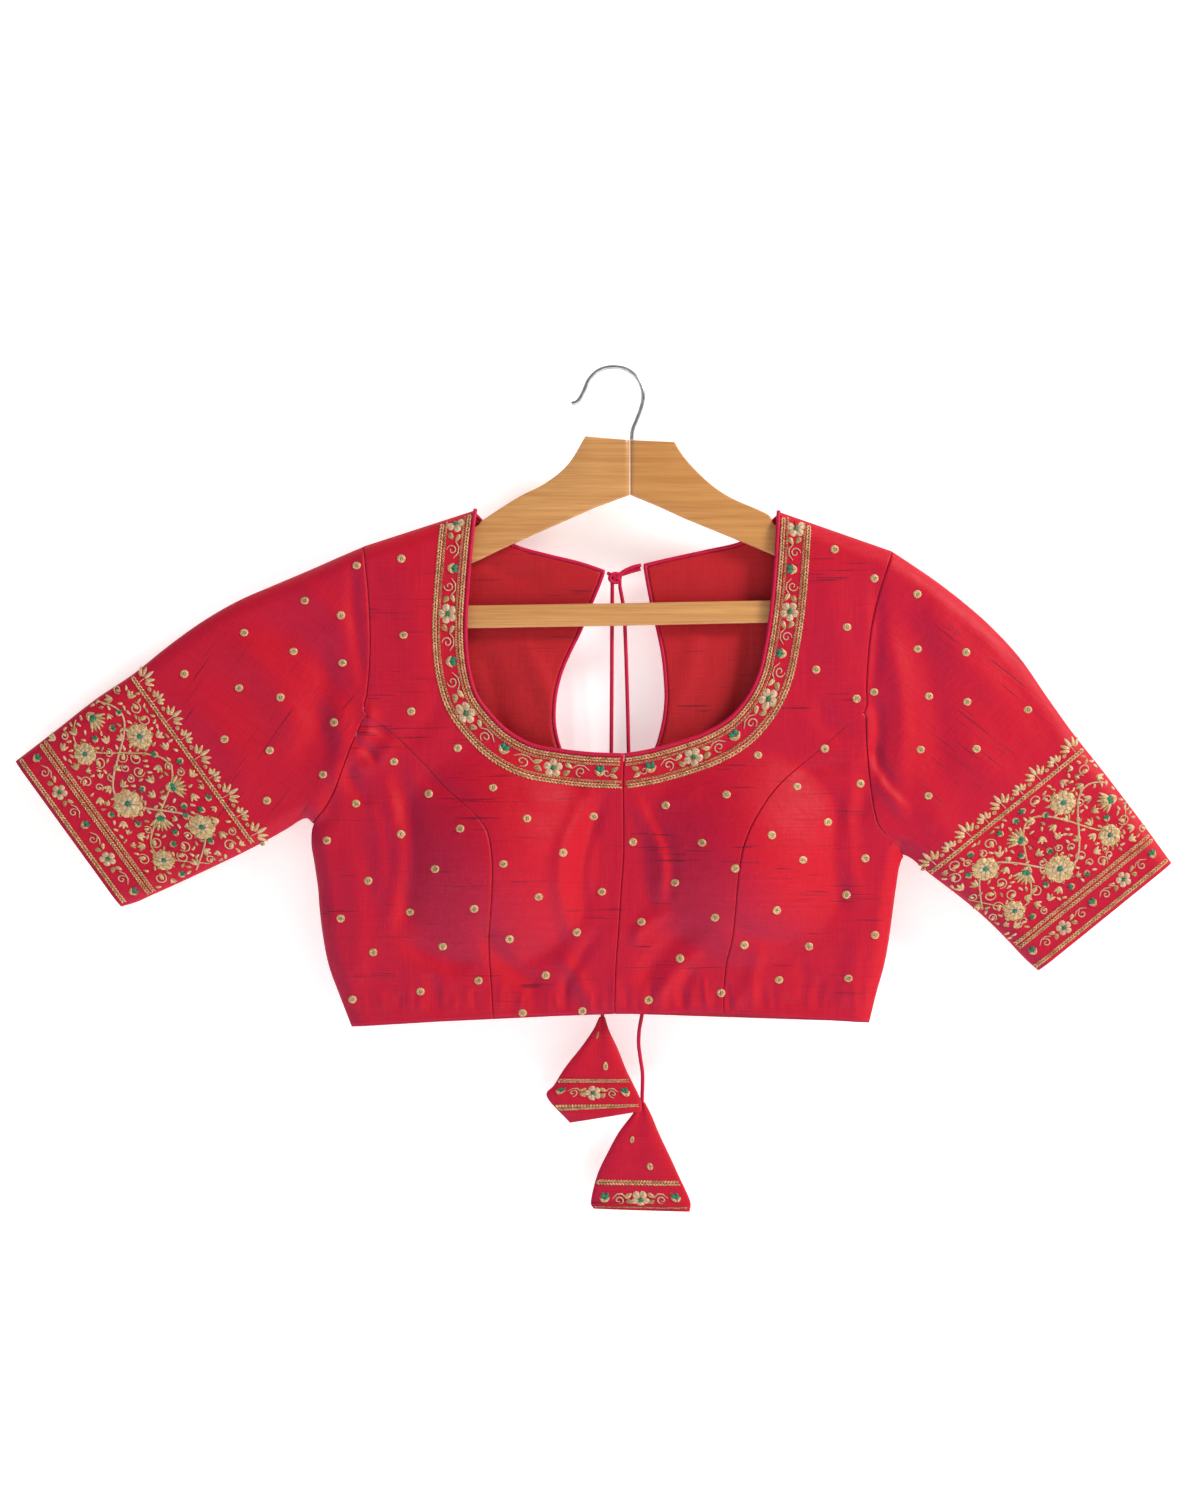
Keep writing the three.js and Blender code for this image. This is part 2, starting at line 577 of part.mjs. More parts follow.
// the left cord ends behind the right tassel
function cordPoint([x, z], endZ, endY) {
  const behind = backY(x, Math.max(z, -484)) + CORD_CLEAR;
  return [x, mix(mix(KNOT_Y, behind, smooth(-163, -285, z)), endY, smooth(-484, endZ, z)), z];
}
add('tie_cord_right', sweep(CORD_RIGHT.map((p) => cordPoint(p, -486, 8.7)), CORD_R, 8, 28), SILK_PLAIN);
add('tie_cord_left', sweep(CORD_LEFT.map((p) => cordPoint(p, -545, 13.8)), CORD_R, 8, 36), SILK_PLAIN);
// the knot, with the stretch of cord that runs to it from the keyhole's left corner
const KNOT = [
  // along, radius
  [-5.0, 0], [-4.4, 2.6], [-2.2, 4.6], [1.2, 5.2], [4.6, 4.2], [7.0, 2.0], [9.5, 1.5], [19.6, 1.5], [20.2, 0],
];
{
  const knot = new THREE.LatheGeometry(KNOT.map(([a, r]) => new THREE.Vector2(r, a)), 12);
  knot.rotateZ(-Math.PI / 2);
  knot.rotateY(-0.36);
  knot.translate(0.4, KNOT_Y, -156.4);
  add('tie_knot', mergedLathe(knot), SILK_PLAIN);
}
add('latkan_right', latkanGeometry(LATKAN_RIGHT), SILK);
add('latkan_left', latkanGeometry(LATKAN_LEFT), SILK);

// the hanger
add('hanger_arm_right', plateGeometry(ARM_RIGHT, HANGER_T), WOOD);
add('hanger_arm_left', plateGeometry(ARM_LEFT, HANGER_T), WOOD);
{
  // the bar's ends are cut to lie against the lower edges of both arms
  const bar = [
    [-193, -187.6, -193, -194.4],
    [-190.6, -186.4, -190.6, -194.4],
    [-175, -178.2, -175, -194.3],
    [-106.5, -177.4, -106.5, -194.6],
    [117.5, -173.6, 117.5, -190.4],
    [191.8, -172.8, 191.8, -188.6],
    [212.6, -182.4, 212.6, -188.8],
    [215.6, -184, 215.6, -188.8],
  ];
  add('hanger_bar', plateGeometry(bar, BAR_T), WOOD);
}
add('hanger_hook', sweep(HOOK_WIRE.map(([x, z]) => [x, 0, z]), HOOK_R, 8, 32), STEEL);

export default group;
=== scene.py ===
import bpy, math, random
import numpy as np
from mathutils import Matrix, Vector


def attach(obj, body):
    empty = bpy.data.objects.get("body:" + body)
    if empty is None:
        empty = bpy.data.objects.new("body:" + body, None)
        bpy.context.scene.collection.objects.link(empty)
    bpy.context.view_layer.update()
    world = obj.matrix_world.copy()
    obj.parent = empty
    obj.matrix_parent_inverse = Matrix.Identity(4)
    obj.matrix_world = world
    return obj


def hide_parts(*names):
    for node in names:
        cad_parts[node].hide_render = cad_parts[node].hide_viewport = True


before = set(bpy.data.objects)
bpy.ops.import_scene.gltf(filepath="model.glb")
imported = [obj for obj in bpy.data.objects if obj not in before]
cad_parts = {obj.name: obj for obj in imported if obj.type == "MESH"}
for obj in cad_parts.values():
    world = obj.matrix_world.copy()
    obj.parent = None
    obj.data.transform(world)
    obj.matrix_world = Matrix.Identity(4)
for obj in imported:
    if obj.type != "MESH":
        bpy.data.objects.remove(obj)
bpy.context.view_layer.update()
rnd = random.Random(7)
scene = bpy.context.scene
# Tables in millimetres: a row for each section.
FRONT_CENTRE_RIGHT = [
  
  [-102.8, -105.4, -188.3, -133.1, 1],
  [-105.2, -127, -186.4, -149, 1],
  [-106.9, -146, -184.6, -167, 1],
  [-108.6, -168, -183.4, -187, 1],
  [-109.8, -188, -183.0, -205, 1],
  [-109.5, -208.1, -183.5, -223, 1],
  [-107.4, -226, -185.2, -242, 1],
  [-102.6, -243, -186.8, -258, 1],
  [-93.8, -256.1, -172, -269, 1],
  [-80, -270.2, -157, -282, 1],
  [-62, -280.6, -142.5, -297, 1],
  [-42, -284.8, -129.8, -310.9, 1],
  [-18, -287.6, -115, -324.2, 1],
  [7.5, -288.6, -103.5, -334.6, 1],
  [6.8, -312, -95, -346, 0],
  [7.2, -340, -91.3, -363, 0],
  [7.0, -366, -90.8, -384, 0],
  [5.2, -392, -92.0, -404, 0],
  [3.4, -420, -93.6, -426, 0],
  [1.6, -444, -93.2, -447, 0],
  [0.8, -465, -91.8, -467, 0],
  [0.4, -484.2, -90.8, -487.5, 0],
]
FRONT_CENTRE_LEFT = [
  [122.3, -106.6, 209.3, -136.9, 1],
  [121.2, -126, 204.6, -150, 1],
  [120, -145, 199.4, -166, 1],
  [118.3, -166, 194.9, -184, 1],
  [116, -187, 191.8, -202, 1],
  [112.6, -208, 190.2, -220, 1],
  [108, -228, 189.2, -239, 1],
  [99.5, -245.6, 188.3, -256, 1],
  [86, -261.3, 172, -270, 1],
  [68.6, -271.9, 156, -284, 1],
  [49.5, -278.9, 140, -297.6, 1],
  [30.5, -284.4, 126.5, -309, 1],
  [19, -286.8, 116.5, -320, 1],
  [7.5, -288.6, 109.5, -330, 1],
  [6.8, -312, 102, -343, 0],
  [7.2, -340, 95.6, -360, 0],
  [7.0, -366, 92.2, -382, 0],
  [5.2, -392, 90.6, -403, 0],
  [3.4, -420, 88.6, -426, 0],
  [1.6, -444, 84.2, -446, 0],
  [0.8, -465, 82.4, -466, 0],
  [0.4, -484.2, 82.1, -484.0, 0],
]
FRONT_SIDE_RIGHT = [
  [-185.2, -260.5, -187.6, -261.5],
  [-172, -269, -191.5, -271],
  [-157, -282, -197.0, -283],
  [-142.5, -297, -203.0, -299],
  [-129.8, -310.9, -209.0, -315],
  [-115, -324.2, -216.5, -329],
  [-103.5, -334.6, -225.8, -341.6],
  [-95, -346, -227.6, -355.9],
  [-91.3, -363, -225.2, -372],
  [-90.8, -384, -222.6, -390],
  [-92.0, -404, -221.2, -408],
  [-93.6, -426, -218.6, -428],
  [-93.2, -447, -214.4, -448.5],
  [-91.8, -467, -206.6, -470],
  [-90.8, -487.5, -197.3, -493.9],
]
FRONT_SIDE_LEFT = [
  [186.8, -258.0, 188.7, -261],
  [172, -270, 189.0, -273],
  [156, -284, 189.9, -287],
  [140, -297.6, 191.2, -303],
  [126.5, -309, 193.0, -319],
  [116.5, -320, 195.6, -334],
  [109.5, -330, 200.5, -346],
  [102, -343, 216.5, -362.3],
  [95.6, -360, 214.4, -374],
  [92.2, -382, 211.5, -394],
  [90.6, -403, 209.2, -411],
  [88.6, -426, 206.8, -428.5],
  [84.2, -446, 203.2, -448],
  [82.4, -466, 197.4, -469],
  [82.1, -484.0, 192.0, -490.9],
]
BACK_RIGHT = [
  [-103.8, -107.4, -188.3, -133.1],
  [-89, -122, -185.6, -158],
  [-73, -131.5, -183.4, -186],
  [-50, -138, -183.2, -212],
  [-26, -143.8, -184.8, -236],
  [-6, -150.4, -188.8, -256],
  [-10.5, -163, -194.2, -274],
  [-16.5, -177, -199.6, -290],
  [-24, -196, -204.8, -305],
  [-33, -214.5, -210.6, -318],
  [-39.6, -231, -217.0, -330],
  [-43.4, -250, -225.8, -341.6],
  [-43.2, -270, -227.6, -356],
  [-37, -290, -225.2, -372],
  [-24, -305.5, -222.6, -390],
  [-2.5, -313, -221.2, -408],
  [-1.5, -345, -218.6, -428],
  [-0.5, -390, -214.4, -448.5],
  [0.2, -440, -206.6, -470],
  [0.4, -484.6, -197.3, -493.9],
]
BACK_LEFT = [
  [123.3, -108.6, 209.3, -136.9],
  [109, -121, 203.4, -154],
  [93.5, -129.4, 196.6, -178],
  [70, -134.8, 192.4, -200],
  [45, -140.2, 190.2, -221],
  [21.8, -145.6, 188.9, -243],
  [24.2, -160, 188.5, -262],
  [27.3, -176, 189.0, -279],
  [32.2, -197, 190.3, -297],
  [35.8, -215, 192.0, -314],
  [37.6, -233, 195.4, -334],
  [38, -250, 203.0, -349],
  [35.3, -269, 216.5, -362.3],
  [29, -288, 213.8, -379],
  [16, -304, 211.2, -396],
  [-2.5, -313, 209.0, -412],
  [-1.5, -345, 206.8, -429],
  [-0.5, -390, 203.2, -448],
  [0.2, -440, 197.4, -469],
  [0.4, -484.6, 192.0, -490.9],
]
SLEEVE_RIGHT = [
  [-188.3, -133.1, -225.8, -341.6],
  [-206.6, -140.9, -232.5, -337.6],
  [-231, -151.6, -246.5, -345.8],
  [-256, -162.2, -262.5, -354.8],
  [-283, -174.0, -279.5, -363.6],
  [-309, -189.0, -297.0, -372.0],
  [-335, -207.6, -314.0, -380.0],
  [-361.5, -228.8, -331.5, -388.1],
  [-389.5, -247.6, -347.0, -395.0],
  [-420, -271.4, -358.4, -400.2],
  [-450, -294.4, -370.5, -403.9],
]
SLEEVE_LEFT = [
  [209.3, -136.9, 216.5, -362.3],
  [225, -147.2, 222.5, -366.4],
  [243, -159.6, 232.0, -374.8],
  [263.8, -175.7, 243.5, -383.9],
  [285, -194.6, 255.8, -393.2],
  [306, -217.6, 267.6, -402.6],
  [325, -245.0, 279.0, -412.4],
  [345, -273.0, 290.0, -423.0],
  [367, -300.8, 300.0, -433.4],
  [393, -334.9, 309.6, -443.6],
  [419.3, -370.9, 319.0, -451.9],
]
BOW_RIGHT = [
  
  [0, 0], [0.14, 7.6], [0.3, 16.4], [0.45, 21.4], [0.58, 22.2], [0.72, 17.6], [0.86, 10.6], [1, 0],
]
BOW_LEFT = [
  [0, 0], [0.1, -8.2], [0.22, -16.4], [0.38, -22.2], [0.54, -24.7], [0.7, -24.4], [0.84, -20.8], [0.875, -19.4], [0.93, -14.6], [1, 0],
]
ARM_RIGHT = [
  
  [11.8, -53.1, 11.8, -94.3],
  [-21.5, -50.3, -14, -103.8],
  [-34.5, -71.3, -33, -112.2],
  [-52, -85.8, -56, -122.4],
  [-71.3, -95.6, -80, -133.2],
  [-97.4, -112.4, -92, -138.9],
  [-104.4, -118.4, -104.6, -144.8],
  [-130, -130.4, -135, -158.6],
  [-165, -146.6, -168, -174],
  [-193, -160.4, -191, -186],
  [-200, -168, -198.6, -181],
]
ARM_LEFT = [
  [12.2, -53.1, 12.2, -94.3],
  [45.4, -54.5, 36, -104.2],
  [54.8, -68.4, 52, -111.6],
  [70.5, -84.4, 72, -119.8],
  [87.8, -96.4, 92, -127.9],
  [115.6, -109.0, 112, -136.4],
  [121.6, -117.4, 122, -140.6],
  [150, -130.2, 152, -154],
  [184, -146.4, 184, -168.6],
  [214, -160.6, 213, -182],
  [222, -167.6, 220.6, -177],
]
HOOK_WIRE = [
  
  [13.3, -52.7], [13.9, -46], [17.1, -37.6], [20.3, -29.1], [22.0, -20.6], [20.8, -12.6], [16.4, -4.9], [9.6, 0.2],
  [1.4, 2.0], [-6.4, 1.4], [-13.6, -1.9], [-19.2, -8.1], [-22.9, -16.5], [-27.1, -23.6], [-31.8, -25.6],
]
CORD_RIGHT = [
  [-1.2, -163.2], [-1.3, -180], [-1.5, -205], [-1.6, -235], [-1.8, -265], [-2.0, -290], [-2.8, -330], [-4.2, -370],
  [-5.6, -410], [-6.9, -445], [-8.0, -470], [-8.7, -486.5],
]
CORD_LEFT = [
  [4.6, -163.2], [7.4, -180], [8.8, -205], [9.8, -235], [10.6, -265], [11.2, -290], [13.0, -330], [15.2, -370],
  [17.6, -410], [19.6, -445], [21.2, -468], [21.3, -484], [19.2, -497], [18.7, -508], [20.0, -519], [21.6, -530],
  [21.6, -541], [21.3, -551.4],
]
LATKAN_RIGHT = [
  
  [-11.2, -487.6, -6.6, -487.6, 2.3, 8.7],
  [-15.6, -497, -3.6, -497.5, 2.7, 8.5],
  [-25.0, -510.5, 3.0, -511.5, 3.0, 8.1],
  [-36.5, -525.0, 9.2, -527.0, 3.2, 7.6],
  [-45.0, -538.4, 14.6, -538.0, 3.3, 7.2],
  [-50.6, -547.6, 20.2, -549.8, 3.3, 6.9],
  [-33.4, -567.0, 20.8, -558.2, 3.2, 6.7],
]
LATKAN_LEFT = [
  [18.9, -552.6, 23.6, -552.6, 2.3, 13.8],
  [13.4, -562, 28.6, -562.5, 2.7, 13.8],
  [3.6, -575, 34.4, -576.5, 3.0, 13.4],
  [-4.6, -590, 41.8, -592, 3.2, 13.0],
  [-12.6, -607, 49.4, -608.5, 3.3, 12.6],
  [-17.4, -626.8, 57.6, -626.6, 3.3, 12.3],
  [-15.6, -632.4, 57.4, -634.8, 3.2, 12.2],
]

# ---------------------------------------------------------------- camera, stage and light
def P(px, py):
    """A place on the garment from its spot in a 1200 by 1499 layout, in mm."""
    return ((px - 614.0) * 0.75, (368.5 - py) * 0.75)

cam_data = bpy.data.cameras.new("camera")
cam_data.lens = 85
cam_data.sensor_width = 36
cam_data.sensor_fit = "VERTICAL"
cam_data.sensor_height = 36
cam = bpy.data.objects.new("camera", cam_data)
scene.collection.objects.link(cam)
cam.location = (-0.0105, -2.662, -0.2857)
cam.rotation_euler = (math.radians(90), 0, 0)
scene.camera = cam
scene.view_settings.view_transform = "Standard"

def new_mesh(name, verts, faces, mats, smooth=True, mat_ids=None):
    me = bpy.data.meshes.new(name)
    me.from_pydata([tuple(v) for v in verts], [], [tuple(f) for f in faces])
    for m in mats:
        me.materials.append(m)
    if smooth:
        me.polygons.foreach_set("use_smooth", [True] * len(me.polygons))
    if mat_ids is not None:
        me.polygons.foreach_set("material_index", mat_ids)
    me.update()
    ob = bpy.data.objects.new(name, me)
    scene.collection.objects.link(ob)
    return ob

def area_light(name, loc, target, size, energy, color=(1, 1, 1)):
    d = bpy.data.lights.new(name, "AREA")
    d.size = size
    d.energy = energy
    d.color = color
    o = bpy.data.objects.new(name, d)
    o.location = loc
    o.rotation_euler = (Vector(target) - Vector(loc)).to_track_quat("-Z", "Y").to_euler()
    scene.collection.objects.link(o)

area_light("key", (1.75, -1.15, 1.0), (0, 0, -0.32), 0.6, 46)
area_light("fill", (-1.9, -2.2, -0.1), (0, 0, -0.3), 1.8, 4.5)
area_light("back_fill", (-0.6, 2.4, 0.4), (0, 0, -0.3), 1.8, 24)
world = bpy.data.worlds.new("world")
scene.world = world
world.use_nodes = True
world.node_tree.nodes["Background"].inputs[0].default_value = (1, 1, 1, 1)
world.node_tree.nodes["Background"].inputs[1].default_value = 0.30

# ---------------------------------------------------------------- materials
def nodes_of(name):
    m = bpy.data.materials.new(name)
    m.use_nodes = True
    nt = m.node_tree
    return m, nt, nt.nodes["Principled BSDF"]

def ramp(nt, fac, stops):
    r = nt.nodes.new("ShaderNodeValToRGB")
    e = r.color_ramp.elements
    e[0].position, e[0].color = stops[0][0], (*stops[0][1], 1)
    e[1].position, e[1].color = stops[-1][0], (*stops[-1][1], 1)
    for p, c in stops[1:-1]:
        x = e.new(p)
        x.color = (*c, 1)
    nt.links.new(fac, r.inputs[0])
    return r.outputs[0]

def coords(nt, rot=0.0, scale=(1, 1, 1)):
    tc = nt.nodes.new("ShaderNodeTexCoord")
    r = nt.nodes.new("ShaderNodeMapping")
    r.inputs["Rotation"].default_value = (0, rot, 0)
    nt.links.new(tc.outputs["Object"], r.inputs[0])
    s = nt.nodes.new("ShaderNodeMapping")
    s.inputs["Scale"].default_value = scale
    nt.links.new(r.outputs[0], s.inputs[0])
    return s.outputs[0]

def noise(nt, vec, scale, detail=2.0, rough=0.5):
    n = nt.nodes.new("ShaderNodeTexNoise")
    n.inputs["Scale"].default_value = scale
    n.inputs["Detail"].default_value = detail
    n.inputs["Roughness"].default_value = rough
    nt.links.new(vec, n.inputs["Vector"])
    return n.outputs[0]

def mixc(nt, fac, a, b, mode="MIX"):
    m = nt.nodes.new("ShaderNodeMix")
    m.data_type = "RGBA"
    m.blend_type = mode
    for sock, val in ((m.inputs[0], fac), (m.inputs[6], a), (m.inputs[7], b)):
        if isinstance(val, bpy.types.NodeSocket):
            nt.links.new(val, sock)
        elif isinstance(val, tuple):
            sock.default_value = (*val, 1)
        else:
            sock.default_value = val
    return m.outputs[2]

def math_node(nt, op, a, b=0.0, clamp=False):
    m = nt.nodes.new("ShaderNodeMath")
    m.operation = op
    m.use_clamp = clamp
    for i, v in enumerate((a, b)):
        if isinstance(v, bpy.types.NodeSocket):
            nt.links.new(v, m.inputs[i])
        else:
            m.inputs[i].default_value = v
    return m.outputs[0]

def bump(nt, bsdf, height, strength, dist=0.0006, normal=None):
    b = nt.nodes.new("ShaderNodeBump")
    b.inputs["Strength"].default_value = strength
    b.inputs["Distance"].default_value = dist
    nt.links.new(height, b.inputs["Height"])
    if normal:
        nt.links.new(normal, b.inputs["Normal"])
    nt.links.new(b.outputs[0], bsdf.inputs["Normal"])
    return b.outputs[0]

def silk(name, rot=0.0, red=(0.60, 0.001, 0.016), shade_magenta=(0.42, 0.0, 0.042), dark=(0.34, 0.0, 0.012), sheen=0.05):
    m, nt, b = nodes_of(name)
    geo = nt.nodes.new("ShaderNodeNewGeometry")
    sep = nt.nodes.new("ShaderNodeSeparateXYZ")
    nt.links.new(geo.outputs["Normal"], sep.inputs[0])
    # shot silk done as painted shade: the base colour goes to the darker magenta where the normal faces the wearer's
    # right and down, the sides away from the key lamp; random noise patches add the same shift as real tone variation
    painted_shade_side = math_node(nt, "MULTIPLY", sep.outputs[0], -1.5)
    painted_shade_below = math_node(nt, "MULTIPLY", sep.outputs[2], -0.9)
    both = math_node(nt, "ADD", painted_shade_side, painted_shade_below)
    patch = noise(nt, coords(nt), 9.0, 2.0)
    both = math_node(nt, "ADD", both, math_node(nt, "MULTIPLY", math_node(nt, "SUBTRACT", patch, 0.5), 0.9))
    both = math_node(nt, "ADD", both, 0.38, True)
    # red to the darker magenta: painted shade by the normal's direction, plus the random patches
    col = mixc(nt, both, red, shade_magenta)
    yarn = noise(nt, coords(nt, rot, (14, 14, 900)), 1.0, 3.0, 0.65)
    col = mixc(nt, ramp(nt, yarn, [(0.35, (0.0,) * 3), (0.75, (0.34,) * 3)]), col, dark)
    slub = noise(nt, coords(nt, rot, (26, 26, 620)), 1.0, 1.0, 0.4)
    mask = noise(nt, coords(nt, rot, (9, 9, 60)), 1.0, 1.0)
    s = math_node(nt, "MULTIPLY", ramp(nt, slub, [(0.63, (0.0,) * 3), (0.70, (1.0,) * 3)]), ramp(nt, mask, [(0.50, (0.0,) * 3), (0.62, (0.85,) * 3)]))
    col = mixc(nt, s, col, (0.16, 0.0, 0.02))
    warp = noise(nt, coords(nt, rot, (1100, 1100, 30)), 1.0, 2.0)
    col = mixc(nt, ramp(nt, warp, [(0.4, (0.0,) * 3), (0.8, (0.22,) * 3)]), col, (0.74, 0.02, 0.05))
    nt.links.new(col, b.inputs["Base Color"])
    rough = math_node(nt, "ADD", math_node(nt, "MULTIPLY", yarn, 0.22), 0.42)
    nt.links.new(rough, b.inputs["Roughness"])
    b.inputs["Sheen Weight"].default_value = sheen
    b.inputs["Sheen Roughness"].default_value = 0.4
    b.inputs["Sheen Tint"].default_value = (1.0, 0.25, 0.35, 1)
    b.inputs["Specular IOR Level"].default_value = 0.26
    h = math_node(nt, "ADD", math_node(nt, "ADD", yarn, math_node(nt, "MULTIPLY", s, 0.8)), math_node(nt, "MULTIPLY", warp, 0.4))
    n1 = bump(nt, b, h, 0.35, 0.0004)
    soft = noise(nt, coords(nt), 34.0, 3.0, 0.6)
    bump(nt, b, soft, 0.30, 0.0040, n1)
    return m

def thread(name, c1, c2, c3, metal, rough, scale=900):
    m, nt, b = nodes_of(name)
    v = noise(nt, coords(nt, 0.6, (1, 1, 2.2)), scale, 2.0)
    broad = noise(nt, coords(nt), 120, 2.0)
    col = ramp(nt, v, [(0.33, c1), (0.5, c2), (0.68, c3)])
    col = mixc(nt, ramp(nt, broad, [(0.4, (0.0,) * 3), (0.7, (0.35,) * 3)]), col, c1)
    nt.links.new(col, b.inputs["Base Color"])
    b.inputs["Metallic"].default_value = metal
    nt.links.new(math_node(nt, "ADD", math_node(nt, "MULTIPLY", v, 0.3), rough), b.inputs["Roughness"])
    bump(nt, b, v, 0.6, 0.0005)
    return m

def wood(name, tint):
    m, nt, b = nodes_of(name)
    w = noise(nt, coords(nt, 0.0, (7, 60, 260)), 1.0, 4.0, 0.6)
    fine = noise(nt, coords(nt, 0.0, (30, 200, 1500)), 1.0, 2.0)
    a, c = tint
    col = ramp(nt, w, [(0.3, a), (0.55, tuple((p + q) / 2 for p, q in zip(a, c))), (0.75, c)])
    col = mixc(nt, ramp(nt, fine, [(0.5, (0.0,) * 3), (0.75, (0.35,) * 3)]), col, tuple(0.55 * k for k in c))
    nt.links.new(col, b.inputs["Base Color"])
    nt.links.new(math_node(nt, "ADD", math_node(nt, "MULTIPLY", w, 0.2), 0.22), b.inputs["Roughness"])
    b.inputs["Coat Weight"].default_value = 0.6
    b.inputs["Coat Roughness"].default_value = 0.12
    bump(nt, b, fine, 0.12, 0.0003)
    return m

ROT_R = math.radians(54)
ROT_L = math.radians(-39)
SILK = silk("silk_body")
SILK_SR = silk("silk_sleeve_right", ROT_R)
SILK_SL = silk("silk_sleeve_left", ROT_L)
SILK_IN = silk("silk_inside", 0.0, (0.52, 0.010, 0.014), (0.44, 0.008, 0.014), (0.26, 0.003, 0.008), 0.05)
SILK_PLAIN = silk("silk_piping", 0.8, (0.60, 0.006, 0.045), (0.46, 0.0, 0.06), (0.28, 0.0, 0.03))
GOLD = thread("zari_gold", (0.30, 0.15, 0.05), (0.66, 0.44, 0.20), (0.92, 0.72, 0.42), 0.25, 0.30)
GOLD_D = thread("zari_old_gold", (0.20, 0.10, 0.03), (0.45, 0.29, 0.11), (0.70, 0.50, 0.25), 0.3, 0.34)
PALE = thread("zari_pale", (0.40, 0.24, 0.12), (0.66, 0.46, 0.28), (0.84, 0.66, 0.46), 0.15, 0.36)
GREEN = thread("green_thread", (0.0, 0.06, 0.03), (0.0, 0.20, 0.11), (0.02, 0.36, 0.20), 0.0, 0.4)
# painted light and shade: two copies of one lacquered wood, the lighter one for the wearer's right arm and the bar,
# the darker one for the wearer's left arm, for how the key lamp lit the two arms
WOOD_LIT = wood("lacquered_wood_lit", ((0.72, 0.36, 0.12), (0.50, 0.20, 0.05)))
WOOD_SHADED = wood("lacquered_wood_shaded", ((0.66, 0.31, 0.09), (0.50, 0.19, 0.04)))
STEEL, nt_, b_ = nodes_of("steel_wire")
b_.inputs["Metallic"].default_value = 1.0
nt_.links.new(ramp(nt_, noise(nt_, coords(nt_), 300, 2), [(0.3, (0.42, 0.42, 0.44)), (0.7, (0.62, 0.62, 0.64))]), b_.inputs["Base Color"])
nt_.links.new(math_node(nt_, "ADD", math_node(nt_, "MULTIPLY", noise(nt_, coords(nt_), 180, 2), 0.2), 0.14), b_.inputs["Roughness"])

def stage_plane(name, verts, one_sided):
    m, nt, b = nodes_of(name)
    b.inputs["Base Color"].default_value = (0.93, 0.93, 0.93, 1)
    b.inputs["Roughness"].default_value = 0.9
    b.inputs["Emission Color"].default_value = (1, 1, 1, 1)
    b.inputs["Emission Strength"].default_value = 0.42
    if one_sided:
        geo = nt.nodes.new("ShaderNodeNewGeometry")
        tr = nt.nodes.new("ShaderNodeBsdfTransparent")
        mx = nt.nodes.new("ShaderNodeMixShader")
        nt.links.new(geo.outputs["Backfacing"], mx.inputs[0])
        nt.links.new(b.outputs[0], mx.inputs[1])
        nt.links.new(tr.outputs[0], mx.inputs[2])
        nt.links.new(mx.outputs[0], nt.nodes["Material Output"].inputs[0])
    o = new_mesh(name, verts, [(0, 1, 2, 3)], [m], smooth=False)

stage_plane("backdrop", [(-4, 0.036, -1.2), (4, 0.036, -1.2), (4, 0.036, 3), (-4, 0.036, 3)], True)
stage_plane("floor", [(-5, -5, -1.2), (5, -5, -1.2), (5, 5, -1.2), (-5, 5, -1.2)], False)

# ---------------------------------------------------------------- the garment's surface
WALL = 1.5
def col2(rows, a, b):
    return [(r[a], r[b]) for r in rows]
CLOSED = [
    [(-102.8, -105.4)] + col2(SLEEVE_RIGHT, 0, 1),
    col2(SLEEVE_RIGHT, 2, 3)[::-1][:-1] + col2(FRONT_SIDE_RIGHT, 2, 3)[6:],
    [(122.3, -106.6)] + col2(SLEEVE_LEFT, 0, 1),
    col2(SLEEVE_LEFT, 2, 3)[::-1][:-1] + col2(FRONT_SIDE_LEFT, 2, 3)[7:],
]
def spline(points, per=8):
    """A smooth line through points, with `per` steps between each two."""
    p = np.array(points, float)
    p = np.vstack([2 * p[0] - p[1], p, 2 * p[-1] - p[-2]])
    out = []
    for i in range(1, len(p) - 2):
        for k in range(per):
            t = k / per
            out.append(0.5 * (2 * p[i] + (p[i + 1] - p[i - 1]) * t + (2 * p[i - 1] - 5 * p[i] + 4 * p[i + 1] - p[i + 2]) * t * t + (3 * p[i] - p[i - 1] - 3 * p[i + 1] + p[i + 2]) * t ** 3))
    out.append(p[-2])
    return np.array(out)
CLOSED = [np.array(c) for c in CLOSED]
def dist_line(x, z, line):
    best = np.full(x.shape, 1e9)
    for (ax, az), (bx, bz) in zip(line[:-1], line[1:]):
        dx, dz = bx - ax, bz - az
        t = np.clip(((x - ax) * dx + (z - az) * dz) / (dx * dx + dz * dz + 1e-9), 0, 1)
        best = np.minimum(best, np.hypot(x - ax - dx * t, z - az - dz * t))
    return best
def smooth(a, b, v):
    t = np.clip((v - a) / (b - a), 0, 1)
    return t * t * (3 - 2 * t)
